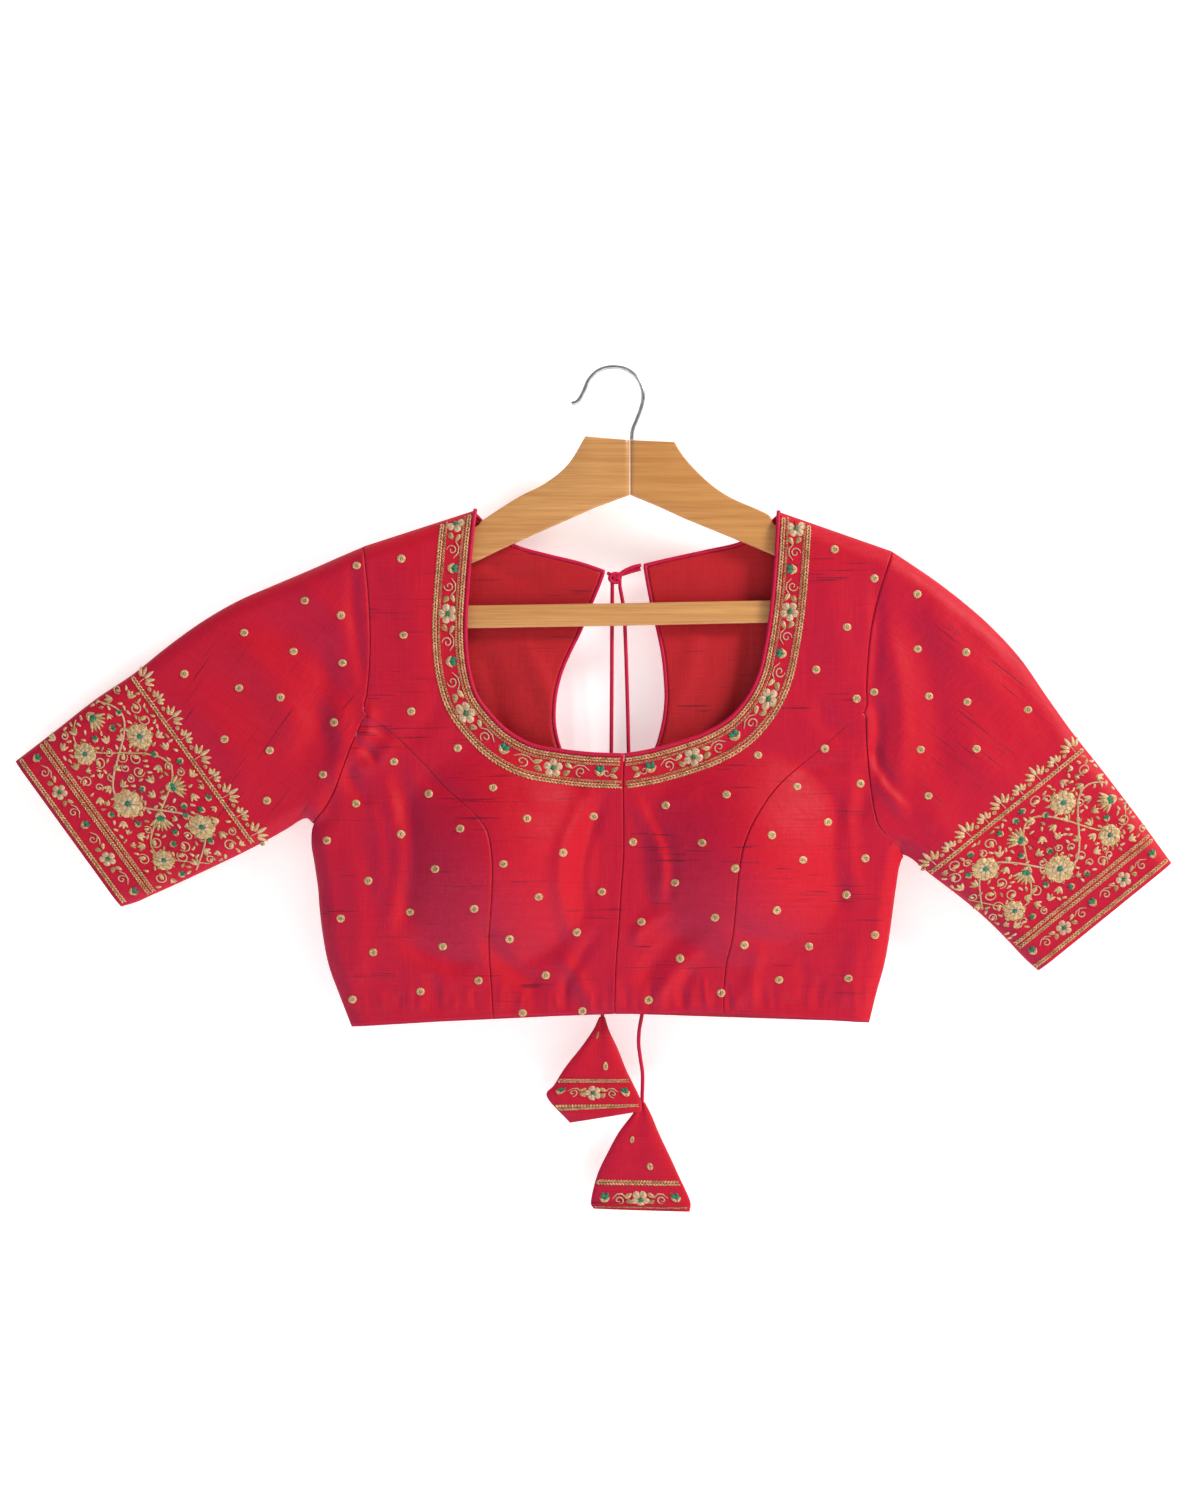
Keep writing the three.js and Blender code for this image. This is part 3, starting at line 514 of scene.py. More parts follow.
# creases: x and z of both ends in layout units, width in mm, height in mm (+ is a ridge), bow to the side in mm
CREASE_FRONT = [
    (352, 742, 378, 762, 4, -1.3, 2), (358, 724, 392, 737, 4, -1.0, 2), (346, 765, 368, 802, 6, -1.2, -3), (330, 775, 320, 830, 7, -1.3, 3),
    (338, 700, 322, 800, 9, 2.0, 8), (372, 705, 352, 760, 6, 1.8, 3), (395, 742, 352, 772, 6, 1.2, 3), (300, 700, 330, 760, 8, -1.2, 6),
    (875, 700, 876, 760, 5, -1.6, 2), (892, 790, 872, 742, 5, -2.0, 2), (905, 812, 878, 772, 5, 1.6, 2), (868, 762, 850, 830, 8, -1.2, 4),
    (590, 792, 566, 925, 7, 1.9, -12), (604, 800, 584, 915, 5, -1.3, -8), (566, 930, 520, 958, 9, -1.6, 5), (480, 925, 545, 988, 8, -1.8, -6),
    (398, 770, 402, 935, 8, -1.6, 10), (386, 780, 388, 930, 7, 1.3, 8), (405, 942, 470, 965, 8, -1.6, -4), (560, 955, 588, 1005, 6, 1.4, 3),
    (600, 930, 560, 1000, 5, -1.2, -3), (372, 800, 380, 900, 6, 0.9, 3), (350, 850, 356, 990, 9, 0.9, 4), (430, 975, 436, 1012, 6, -0.9, 1),
    (634, 800, 660, 905, 7, 1.7, 10), (650, 815, 668, 900, 5, -1.2, 8), (640, 985, 700, 925, 8, -1.9, 6), (632, 940, 668, 912, 5, 1.8, 3),
    (655, 1000, 700, 950, 6, 1.3, 3), (728, 925, 800, 940, 8, -1.4, -5), (838, 800, 842, 910, 8, -1.3, -8), (852, 790, 858, 900, 7, 1.1, -5),
    (760, 945, 740, 1003, 6, 1.0, 2), (690, 965, 680, 1003, 5, -1.0, 1), (860, 930, 850, 1010, 8, 0.9, -2), (800, 960, 806, 1010, 6, -0.7, 1),
    (470, 800, 420, 770, 6, -0.8, 3), (520, 795, 590, 800, 7, 0.9, -3), (700, 790, 650, 800, 6, 0.8, 3), (795, 775, 845, 765, 6, -0.8, 2),
    (232, 640, 300, 740, 14, 1.4, 8), (260, 620, 345, 700, 12, -1.1, 8), (180, 690, 250, 790, 14, 1.0, 6), (140, 760, 230, 850, 16, 0.9, 5),
    (300, 585, 350, 640, 9, 1.0, 4), (352, 560, 366, 690, 5, -1.0, -3), (90, 770, 160, 860, 16, -0.9, 5), (325, 650, 300, 770, 10, -1.3, 6),
    (930, 600, 1010, 700, 12, 1.1, -8), (905, 610, 940, 780, 12, -1.3, 8), (890, 640, 900, 780, 8, 1.3, 5), (960, 740, 1040, 800, 14, 1.0, -5),
    (1000, 640, 1060, 740, 12, -0.9, -5), (925, 800, 985, 870, 12, 1.0, -5), (1050, 800, 1100, 880, 14, 0.9, -4), (876, 580, 870, 700, 5, -1.0, 3),
    (400, 560, 420, 700, 14, 0.8, 5), (830, 560, 850, 690, 14, 0.8, -5), (440, 700, 400, 745, 8, -0.8, 4), (815, 700, 850, 740, 8, -0.8, -4),
]
for k in range(46):
    px = 352 + k * 11.4 + rnd.uniform(-3, 3)
    CREASE_FRONT.append((px, 1010 + rnd.uniform(-3, 2), px + rnd.uniform(-4, 4), 1012 - rnd.uniform(12, 34), rnd.uniform(1.8, 3.6), rnd.choice((-1, 1)) * rnd.uniform(0.25, 0.7), 0.5))
CREASE_BACK = [
    (355, 700, 420, 820, 9, -1.6, 6), (875, 700, 800, 820, 9, -1.6, -6), (345, 790, 500, 850, 10, 1.4, 6), (890, 800, 740, 860, 10, 1.3, -6),
    (560, 800, 590, 1000, 10, -1.4, 5), (650, 800, 670, 1000, 9, 1.2, 4), (450, 860, 440, 1000, 9, 1.1, 3), (780, 870, 770, 1000, 9, -1.1, 3),
    (545, 580, 480, 560, 7, 0.8, 3), (520, 640, 555, 720, 7, -1.1, 3), (480, 640, 500, 760, 9, 1.0, 4), (700, 620, 670, 720, 8, -1.0, 3), (750, 610, 735, 720, 8, 1.0, 3),
    (232, 640, 300, 740, 14, 1.3, -8), (140, 740, 220, 850, 14, -1.0, 5), (300, 600, 330, 780, 10, -1.2, 6), (930, 620, 1010, 740, 12, 1.1, 8), (905, 610, 930, 790, 10, -1.2, 6),
    (1010, 700, 1070, 820, 12, -0.9, 4), (400, 560, 390, 700, 12, 0.9, 4), (840, 560, 850, 700, 12, 0.9, 4), (620, 760, 610, 1005, 7, 0.8, 2),
]
def creases(x, z, table):
    out = np.zeros(x.shape)
    for px0, py0, px1, py1, w, h, bow in table:
        (ax, az), (bx, bz) = P(px0, py0), P(px1, py1)
        dx, dz = bx - ax, bz - az
        L = math.hypot(dx, dz)
        t = ((x - ax) * dx + (z - az) * dz) / (L * L)
        s = ((x - ax) * -dz + (z - az) * dx) / L - bow * np.sin(np.pi * np.clip(t, 0, 1))
        e = np.clip(np.minimum(t + 0.15, 1.15 - t) / 0.4, 0, 1)
        out += 1.55 * h * np.exp(-(s / w) ** 2) * e * e * (3 - 2 * e)
    return out
def half_depth(x, z):
    d = np.minimum.reduce([dist_line(x, z, c) for c in CLOSED])
    out = smooth(200, 410, np.abs(x - 12))
    full = 8.8 + (5.6 - 8.8) * out - (8.8 - 6.4) * smooth(-410, -490, z) * (1 - out)
    u = 1 - np.clip(d / 13.0, 0, 1)
    return 2.0 + (full - 2.0) * (1 - u * u), d
CUPS = [(-88, -366, 78, 84), (98, -366, 78, 84)]
def front_y(x, z):
    x, z = np.asarray(x, float), np.asarray(z, float)
    D, d = half_depth(x, z)
    rise = np.zeros(x.shape)
    for cx, cz, rx, rz in CUPS:
        q = np.clip(1 - ((x - cx) / rx) ** 2 - ((z - cz) / rz) ** 2, 0, None)
        rise += 21 * q ** 1.5
    return -(D + rise + creases(x, z, CREASE_FRONT) * smooth(0, 7, d))
def back_y(x, z):
    x, z = np.asarray(x, float), np.asarray(z, float)
    D, d = half_depth(x, z)
    return D + creases(x, z, CREASE_BACK) * smooth(0, 9, d)

# ---------------------------------------------------------------- shells
ALL = []
def register(ob, nodes=()):
    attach(ob, "root")
    if nodes:
        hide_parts(*nodes)
    ALL.append(ob)
    return ob

def shell(name, grid, closed_ring=False, wall=WALL, mats=(None, None), sign=-1):
    """A thin wall on a grid of points in mm: outer face, inner face and the cut edges."""
    g = np.array(grid, float)
    n, m, _ = g.shape
    du = np.gradient(g, axis=0)
    if closed_ring:
        dv = (np.roll(g, -1, axis=1) - np.roll(g, 1, axis=1)) / 2
    else:
        dv = np.gradient(g, axis=1)
    nor = np.cross(du, dv)
    nor /= np.linalg.norm(nor, axis=2)[..., None] + 1e-9
    if closed_ring:
        c = g.mean(axis=1, keepdims=True)
        if ((g - c) * nor).sum() < 0:
            nor = -nor
    elif (nor[..., 1] * sign).sum() < 0:
        nor = -nor
    inner = g - nor * wall
    if closed_ring:
        y = g[..., 1]
        flat = np.abs(y) * 0 + np.maximum(np.abs(y) - wall, 0.15) * np.where(y < 0, -1, 1)
        fold = np.abs(y) < 1e-6
        keep = inner[..., 1].copy()
        inner = g - np.stack([nor[..., 0] * wall * fold, 0 * y, nor[..., 2] * wall * fold], axis=-1)
        inner[..., 1] = np.where(fold, 0, flat)
    else:
        inner[..., 1] = np.where(sign * inner[..., 1] < 0.12, sign * 0.12, inner[..., 1])
    verts = np.vstack([g.reshape(-1, 3), inner.reshape(-1, 3)]) * 0.001
    N = n * m
    faces, ids = [], []
    mm = m if closed_ring else m - 1
    for i in range(n - 1):
        for j in range(mm):
            a, b = i * m + j, i * m + (j + 1) % m
            c, d = (i + 1) * m + (j + 1) % m, (i + 1) * m + j
            faces.append((a, b, c, d)); ids.append(0)
            faces.append((a + N, d + N, c + N, b + N)); ids.append(1)
    def strip(seq):
        for p, q in zip(seq[:-1], seq[1:]):
            faces.append((q, p, p + N, q + N)); ids.append(0)
    ringidx = list(range(m)) + ([0] if closed_ring else [])
    strip([k for k in ringidx]); strip([(n - 1) * m + k for k in ringidx][::-1])
    if not closed_ring:
        strip([i * m for i in range(n)][::-1]); strip([i * m + m - 1 for i in range(n)])
    ob = new_mesh(name, verts, faces, list(mats), True, ids)
    fix_normals(ob)
    a = np.linalg.norm(np.cross(g[1:, :-1] - g[:-1, :-1], g[:-1, 1:] - g[:-1, :-1]), axis=2).sum() * 1e-6
    return ob, a

import bmesh
def fix_normals(ob):
    bm = bmesh.new()
    bm.from_mesh(ob.data)
    bmesh.ops.recalc_face_normals(bm, faces=bm.faces)
    bm.to_mesh(ob.data)
    bm.free()

def declare(grid_area, w, l, layers=1):
    a = grid_area
    while w * l < a:
        w *= 1.03; l *= 1.03

def offset_line(line, towards, dist):
    p = np.array(line, float)
    seg = np.diff(p, axis=0)
    nrm = np.stack([-seg[:, 1], seg[:, 0]], 1) / np.linalg.norm(seg, axis=1)[:, None]
    t = np.array(towards, float)
    side = (nrm * (t[:-1] + t[1:])).sum(1)
    nrm[side < 0] *= -1
    a = np.vstack([nrm[:1], nrm]); b = np.vstack([nrm, nrm[-1:]])
    k = dist / np.maximum(0.35, 1 + (a * b).sum(1))
    return p + (a + b) * k[:, None]

def fine_rows(rows, per, breaks):
    """Rows between two smooth lines, with corners kept at the breaks."""
    rows = np.array(rows, float)[:, :4]
    cuts = [0] + breaks + [len(rows) - 1]
    out = []
    for a, b in zip(cuts[:-1], cuts[1:]):
        part = spline(rows[a:b + 1], per)
        out.append(part if not out else part[1:])
    return np.vstack(out)

def flat_grid(rows, across, surface, ease=0.0):
    A, B = rows[:, :2], rows[:, 2:4]
    s = np.linspace(0, 1, across + 1)
    xy = A[:, None] * (1 - s)[None, :, None] + B[:, None] * s[None, :, None]
    return np.stack([xy[..., 0], surface(xy[..., 0], xy[..., 1]), xy[..., 1]], -1)

NECK_ROOM = 2.9
def centre_rows(rows):
    r = [list(q) for q in rows]
    neck = [q for q in r if q[4] == 1]
    line = offset_line([q[:2] for q in neck], [(q[2] - q[0], q[3] - q[1]) for q in neck], NECK_ROOM)
    sgn = 1 if rows[0][2] > 0 else -1
    k = len(neck) - 1
    for i in range(len(neck)):
        r[i][0], r[i][1] = line[i]
    r[0][0], r[0][1] = rows[0][0] + sgn * 2.8, rows[0][1] - 0.9
    r[k][0], r[k][1] = rows[k][0] + sgn * 0.2, rows[k][1] - NECK_ROOM
    r[k - 1][0] = rows[k - 1][0]
    for i in range(k + 1, len(r)):
        r[i][0] += sgn * 0.2
    for q in r:
        L = math.hypot(q[2] - q[0], q[3] - q[1])
        q[2] -= (q[2] - q[0]) / L * 0.2
        q[3] -= (q[3] - q[1]) / L * 0.2
    return r, k

GRIDS = {}
for side, rows in (("right", FRONT_CENTRE_RIGHT), ("left", FRONT_CENTRE_LEFT)):
    r, k = centre_rows(rows)
    fr = fine_rows(r, 7, [k])
    g = flat_grid(fr, 78, front_y)
    ob, a = shell("cloth_front_centre_" + side, g, mats=(SILK, SILK_IN))
    register(ob, ["front_centre_" + side])
    declare(a, 0.21, 0.385)
for side, rows in (("right", FRONT_SIDE_RIGHT), ("left", FRONT_SIDE_LEFT)):
    r = []
    for q in rows:
        L = max(1.0, math.hypot(q[2] - q[0], q[3] - q[1])); ux, uz = (q[2] - q[0]) / L * 0.2, (q[3] - q[1]) / L * 0.2
        r.append([q[0] + ux, q[1] + uz, q[2] - ux, q[3] - uz])
    fr = fine_rows(r, 8, [])
    g = flat_grid(fr, 70, front_y)
    ob, a = shell("cloth_front_side_" + side, g, mats=(SILK, SILK_IN))
    register(ob, ["front_side_" + side])
    declare(a, 0.14, 0.24)

# back, with its keyhole
def back_rows(rows):
    r = [list(q) for q in rows]
    edge = [q for q in r if q[1] > -313]
    line = offset_line([q[:2] for q in edge], [(q[2] - q[0], q[3] - q[1]) for q in edge], NECK_ROOM)
    for i in range(len(edge)):
        r[i][0], r[i][1] = line[i]
    sgn = 1 if rows[0][2] > 0 else -1
    r[0][0], r[0][1] = rows[0][0] + sgn * 2.8, rows[0][1] - 0.9
    for q in r:
        q[2] -= sgn * 0.2
    return r, len(edge)
parts = []
area = 0
for rows in (BACK_RIGHT, BACK_LEFT):
    r, k = back_rows(rows)
    fr = fine_rows(r, 7, [5, k])
    parts.append(flat_grid(fr, 74, back_y))
g = np.concatenate([parts[0][:, ::-1], parts[1][:, 1:]], axis=1)
def back_shell():
    """Both halves as one wall: below the keyhole they share the middle line."""
    L, R = parts
    verts, inner, faces, ids, idx = [], [], [], [], []
    start = max(i for i in range(len(L)) if abs(L[i, 0, 0] - R[i, 0, 0]) > 0.01) + 1
    for h, G in enumerate((L, R)):
        du, dv = np.gradient(G, axis=0), np.gradient(G, axis=1)
        nor = np.cross(du, dv); nor /= np.linalg.norm(nor, axis=2)[..., None] + 1e-9
        nor = np.where((nor[..., 1] < 0)[..., None], -nor, nor)
        I = G - nor * WALL
        I[..., 1] = np.maximum(I[..., 1], 0.12)
        tab = np.zeros(G.shape[:2], int)
        for i in range(G.shape[0]):
            for j in range(G.shape[1]):
                if h == 1 and j == 0 and i >= start:
                    tab[i, j] = idx[0][i, 0]; continue
                tab[i, j] = len(verts)
                verts.append(G[i, j]); inner.append(I[i, j])
        idx.append(tab)
    N = len(verts)
    count = {}
    for tab in idx:
        for i in range(tab.shape[0] - 1):
            for j in range(tab.shape[1] - 1):
                f = [tab[i, j], tab[i, j + 1], tab[i + 1, j + 1], tab[i + 1, j]]
                faces.append(tuple(f)); ids.append(0)
                faces.append(tuple(q + N for q in f[::-1])); ids.append(1)
                for p, q in zip(f, f[1:] + f[:1]):
                    count[(min(p, q), max(p, q))] = count.get((min(p, q), max(p, q)), 0) + 1
    for (p, q), c in count.items():
        if c == 1:
            faces.append((p, q, q + N, p + N)); ids.append(0)
    return new_mesh("cloth_back", np.vstack([verts, inner]) * 0.001, faces, [SILK, SILK_IN], True, ids)
ob = back_shell()
fix_normals(ob)
register(ob, ["back"])
a = sum(np.linalg.norm(np.cross(G[1:, :-1] - G[:-1, :-1], G[:-1, 1:] - G[:-1, :-1]), axis=2).sum() for G in parts) * 1e-6
declare(a, 0.445, 0.39)

# sleeves, each a flat tube
def sleeve_xy(rows, bow, s):
    rows = np.array(rows, float)
    fr = spline(rows, 9)
    n = len(fr)
    bx = np.interp(s, [b[0] for b in bow], [b[1] for b in bow])
    k = np.ones(9) / 9
    fade = (1 - np.arange(n) / (n - 1)) ** 1.6
    x = fr[:, None, 0] * (1 - s) + fr[:, None, 2] * s + bx[None] * fade[:, None]
    z = fr[:, None, 1] * (1 - s) + fr[:, None, 3] * s
    return x, z
def body_edge(side, front):
    if front:
        c, sd = (FRONT_CENTRE_RIGHT, FRONT_SIDE_RIGHT) if side == "right" else (FRONT_CENTRE_LEFT, FRONT_SIDE_LEFT)
        a = fine_rows(centre_rows(c)[0], 7, [centre_rows(c)[1]])[:, 2:4]
        b = fine_rows(sd, 8, [])[:, 2:4]
        top = a[a[:, 1] > b[0, 1]]
        return np.vstack([top, b[b[:, 1] > -352]])
    rw, k = back_rows(BACK_RIGHT if side == "right" else BACK_LEFT)
    a = fine_rows(rw, 7, [5, k])[:, 2:4]
    return a[a[:, 1] > -352]
def meet(x, z, edge, out):
    """Moves a sleeve's first rows on to the body's armhole line, easing back over the next ones."""
    for j in range(x.shape[1]):
        zz = np.clip(z[0, j], edge[:, 1].min(), edge[:, 1].max())
        o = np.argsort(edge[:, 1])
        want = np.interp(zz, edge[o, 1], edge[o, 0]) + out * 0.35
        step = np.clip(want - x[0, j], -9, 9)
        k = (1 - np.clip(np.arange(x.shape[0]) / 14.0, 0, 1)) ** 2
        x[:, j] += step * k
    return x
for side, rows, bow, mat in (("right", SLEEVE_RIGHT, BOW_RIGHT, SILK_SR), ("left", SLEEVE_LEFT, BOW_LEFT, SILK_SL)):
    s = np.concatenate([[0, 0.004, 0.012], np.linspace(0.025, 0.975, 66), [0.988, 0.996, 1.0]])
    x, z = sleeve_xy(rows, bow, s)
    sg = -1 if side == "right" else 1
    xb = meet(x.copy(), z, body_edge(side, False), sg)
    x = meet(x, z, body_edge(side, True), sg)
    xm = (x[:, :1] + xb[:, :1]) / 2, (x[:, -1:] + xb[:, -1:]) / 2
    x[:, :1], xb[:, :1], x[:, -1:], xb[:, -1:] = xm[0], xm[0], xm[1], xm[1]
    yf, yb = front_y(x, z), back_y(xb, z)
    for arr in (yf, yb):
        for j, f in ((0, 0.0), (1, 0.62), (2, 0.9), (-1, 0.0), (-2, 0.62), (-3, 0.9)):
            arr[:, j] *= f
    ring_f = np.stack([x, yf, z], -1)
    ring_b = np.stack([xb, yb, z], -1)[:, ::-1][:, 1:-1]
    g = np.concatenate([ring_f, ring_b], axis=1)
    ob, a = shell("cloth_sleeve_" + side, g, closed_ring=True, mats=(mat, SILK_IN))
    register(ob, ["sleeve_" + side])
    declare(a, 0.40 if side == "right" else 0.42, 0.30)

# ---------------------------------------------------------------- tubes: piping, hook, knot
def tube(points, r, sides=10, taper=None):
    p = np.array(points, float)
    t = np.gradient(p, axis=0)
    t /= np.linalg.norm(t, axis=1)[:, None] + 1e-9
    up = np.array([0.0, 1.0, 0.0])
    verts, faces = [], []
    u = np.cross(t[0], up); u /= np.linalg.norm(u) + 1e-9
    for i in range(len(p)):
        u = u - t[i] * u.dot(t[i]); u /= np.linalg.norm(u) + 1e-9
        v = np.cross(t[i], u)
        rr = r if taper is None else r * taper[i]
        for k in range(sides):
            a = 2 * math.pi * k / sides
            verts.append(p[i] + (u * math.cos(a) + v * math.sin(a)) * rr)
        if i:
            for k in range(sides):
                b, q = (i - 1) * sides, i * sides
                faces.append((b + k, b + (k + 1) % sides, q + (k + 1) % sides, q + k))
    faces.append(tuple(range(sides))[::-1]); faces.append(tuple((len(p) - 1) * sides + k for k in range(sides)))
    return verts, faces
def joined(name, parts_, mats):
    V, F, I = [], [], []
    for verts, faces, mid in parts_:
        o = len(V)
        V += [tuple(np.array(v) * 0.001) for v in verts]
        F += [tuple(o + k for k in f) for f in faces]
        I += [mid] * len(faces)
    ob = new_mesh(name, V, F, mats, True, I)
    return ob
for side, rows in (("right", FRONT_CENTRE_RIGHT), ("left", FRONT_CENTRE_LEFT)):
    neck = [q for q in rows if q[4] == 1]
    line = spline(offset_line([q[:2] for q in neck], [(q[2] - q[0], q[3] - q[1]) for q in neck], 1.4), 8)
    y = front_y(line[:, 0], line[:, 1]) + 0.5
    v, f = tube(np.stack([line[:, 0], y, line[:, 1]], 1), 1.55, 10)
    ob = joined("neck_piping_front_" + side, [(v, f, 0)], [SILK_PLAIN]); fix_normals(ob)
    register(ob, ["piping_front_" + side])
for side, rows in (("right", BACK_RIGHT), ("left", BACK_LEFT)):
    edge = [q for q in rows if q[1] > -312.9]
    off = offset_line([q[:2] for q in edge], [(q[2] - q[0], q[3] - q[1]) for q in edge], 1.4)
    line = np.vstack([spline(off[:6], 8)[:-1], spline(np.vstack([off[5:], [[-2.5 - (0.3 if side == "right" else -0.3), -314.4]]]), 8)])
    y = back_y(line[:, 0], line[:, 1]) - 0.5
    v, f = tube(np.stack([line[:, 0], y, line[:, 1]], 1), 1.5, 10)
    ob = joined("neck_piping_back_" + side, [(v, f, 0)], [SILK_PLAIN]); fix_normals(ob)
    register(ob, ["piping_back_" + side])
# strip behind the centre front
cf = [q for q in FRONT_CENTRE_RIGHT if q[4] == 0]
line = spline([(6.8, -294.5)] + [tuple(q[:2]) for q in cf[:-1]] + [(0.4, -481.5)], 6)
s = np.linspace(-12, 12, 13)
x = line[:, 0][:, None] + s[None]; z = np.repeat(line[:, 1][:, None], 13, 1)
g = np.stack([x, front_y(x, z) + 2.1, z], -1)
ob, a = shell("placket_strip", g, wall=0.9, mats=(SILK_PLAIN, SILK_PLAIN))
register(ob, ["placket_underlay"])
declare(a, 0.028, 0.195)

# ---------------------------------------------------------------- cords
def cord_y(x, z, end_z, end_y):
    behind = float(half_depth(np.array([x]), np.array([max(z, -484)]))[0][0]) + 2.3
    k1 = float(smooth(-163, -285, np.array(z))); k2 = float(smooth(-484, end_z, np.array(z)))
    y = 8.4 * (1 - k1) + behind * k1
    return y * (1 - k2) + end_y * k2
for side, table, ez, ey, extra in (("right", CORD_RIGHT, -486, 8.7, [(-9.6, -500), (-10.4, -515)]), ("left", CORD_LEFT, -545, 13.8, [(21.2, -566), (20.8, -582), (20.6, -594)])):
    pts = [(x, cord_y(x, z, ez, ey), z) for x, z in table]
    pts += [(x, {"right": 8.3, "left": 13.5}[side], z) for x, z in extra]
    fine = spline(pts, 6)
    cu = bpy.data.curves.new("dori_" + side, "CURVE")
    cu.dimensions = "3D"
    cu.bevel_depth = 0.0015
    cu.bevel_resolution = 3
    cu.use_fill_caps = True
    sp = cu.splines.new("POLY")
    sp.points.add(len(fine) - 1)
    for q, v in zip(sp.points, fine):
        q.co = (v[0] * 0.001, v[1] * 0.001, v[2] * 0.001, 1)
    ob = bpy.data.objects.new("dori_" + side, cu)
    scene.collection.objects.link(ob)
    cu.materials.append(SILK_PLAIN)
    register(ob, ["tie_cord_" + side])
# knot: two turns and a bow loop to the right corner of the keyhole
def arc(c, rx, rz, a0, a1, ry=0.0, n=26):
    return [(c[0] + rx * math.cos(math.radians(a0 + (a1 - a0) * i / n)), c[1] + ry * math.sin(math.pi * i / n), c[2] + rz * math.sin(math.radians(a0 + (a1 - a0) * i / n))) for i in range(n + 1)]
K = []
for pts in (
    spline([(-4.6, 8.2, -152.6), (-2.0, 6.6, -154.2), (1.0, 6.0, -155.6), (4.0, 6.8, -157.6), (4.6, 8.4, -163.4)], 8),
    spline([(20.6, 8.2, -146.6), (14, 8.0, -148.2), (7, 7.0, -151.6), (2.5, 5.8, -155.4), (-1.0, 6.8, -158.6), (-1.2, 8.4, -163.4)], 8),
    spline([(20.2, 8.6, -149.4), (13, 8.8, -151.4), (6.5, 9.0, -153.4), (1.0, 9.4, -154.0), (-2.6, 9.0, -156.4), (0.0, 7.4, -159.4), (3.8, 7.6, -158.0), (4.6, 9.2, -154.8), (2.2, 9.8, -152.6)], 8),
    arc((1.2, 7.9, -156.4), 4.4, 3.4, 20, 330, -2.2),
):
    v, f = tube(pts, 1.45, 8); K.append((v, f, 0))
ob = KNOT_OB = joined("dori_knot", K, [SILK_PLAIN]); fix_normals(ob)
register(ob, ["tie_knot"])

# ---------------------------------------------------------------- tassels
LAT = {}
def latkan_surface(rows):
    fr = spline(np.array(rows, float), 8)
    def at(u, v, sign=-1, lift=0.0):
        i = np.clip(v, 0, 1) * (len(fr) - 1)
        r = [np.interp(i, np.arange(len(fr)), fr[:, k]) for k in range(6)]
        b = np.sqrt(np.clip(1 - (2 * u - 1) ** 2, 0, 1))
        pleat = 0.7 * np.sin(u * 9.0 + 0.6) * np.clip(1 - v, 0, 1) ** 0.3 * b
        y = r[5] + sign * (r[4] * b ** 0.5 * 1.0 + pleat * 0.6 + lift)
        return np.stack([r[0] * (1 - u) + r[2] * u, y, r[1] * (1 - u) + r[3] * u], -1)
    return at, len(fr)
for side, rows in (("right", LATKAN_RIGHT), ("left", LATKAN_LEFT)):
    at, n = latkan_surface(rows)
    LAT[side] = at
    u = np.concatenate([[0, 0.006, 0.02], np.linspace(0.05, 0.95, 30), [0.98, 0.994, 1]])
    grid = []
    for i in range(n):
        v = i / (n - 1)
        f = at(u, np.full(u.shape, v), -1)
        b = at(u[::-1][1:-1], np.full(len(u) - 2, v), 1)
        grid.append(np.vstack([f, b]))
    g = np.array(grid)
    mid = np.array([q[5] for q in spline(np.array(rows, float), 8)])
    inner = g.copy()
    c = g.mean(axis=1, keepdims=True)
    inner[..., 1] = mid[:, None] + (g[..., 1] - mid[:, None]) * 0.6
    inner[..., 0] = c[..., 0] + (g[..., 0] - c[..., 0]) * 0.975
    inner[..., 2] = c[..., 2] + (g[..., 2] - c[..., 2]) * 0.975
    n_, m_, _ = g.shape; N = n_ * m_
    F, I = [], []
    for i in range(n_ - 1):
        for j in range(m_):
            p, q, r_, t_ = i * m_ + j, i * m_ + (j + 1) % m_, (i + 1) * m_ + (j + 1) % m_, (i + 1) * m_ + j
            F += [(p, q, r_, t_), (p + N, t_ + N, r_ + N, q + N)]; I += [0, 1]
    for j in range(m_):
        p, q = j, (j + 1) % m_
        F += [(q, p, p + N, q + N)]; I += [0]
        p, q = (n_ - 1) * m_ + j, (n_ - 1) * m_ + (j + 1) % m_
        F += [(p, q, q + N, p + N)]; I += [0]
    ob = new_mesh("tassel_" + side, np.vstack([g.reshape(-1, 3), inner.reshape(-1, 3)]) * 0.001, F, [SILK, SILK_IN], True, I)
    fix_normals(ob)
    register(ob, ["latkan_" + side])
    a = np.linalg.norm(np.cross(g[1:] - g[:-1], np.roll(g, -1, 1)[:-1] - g[:-1]), axis=2).sum() * 1e-6
    declare(a, 0.15, 0.085)

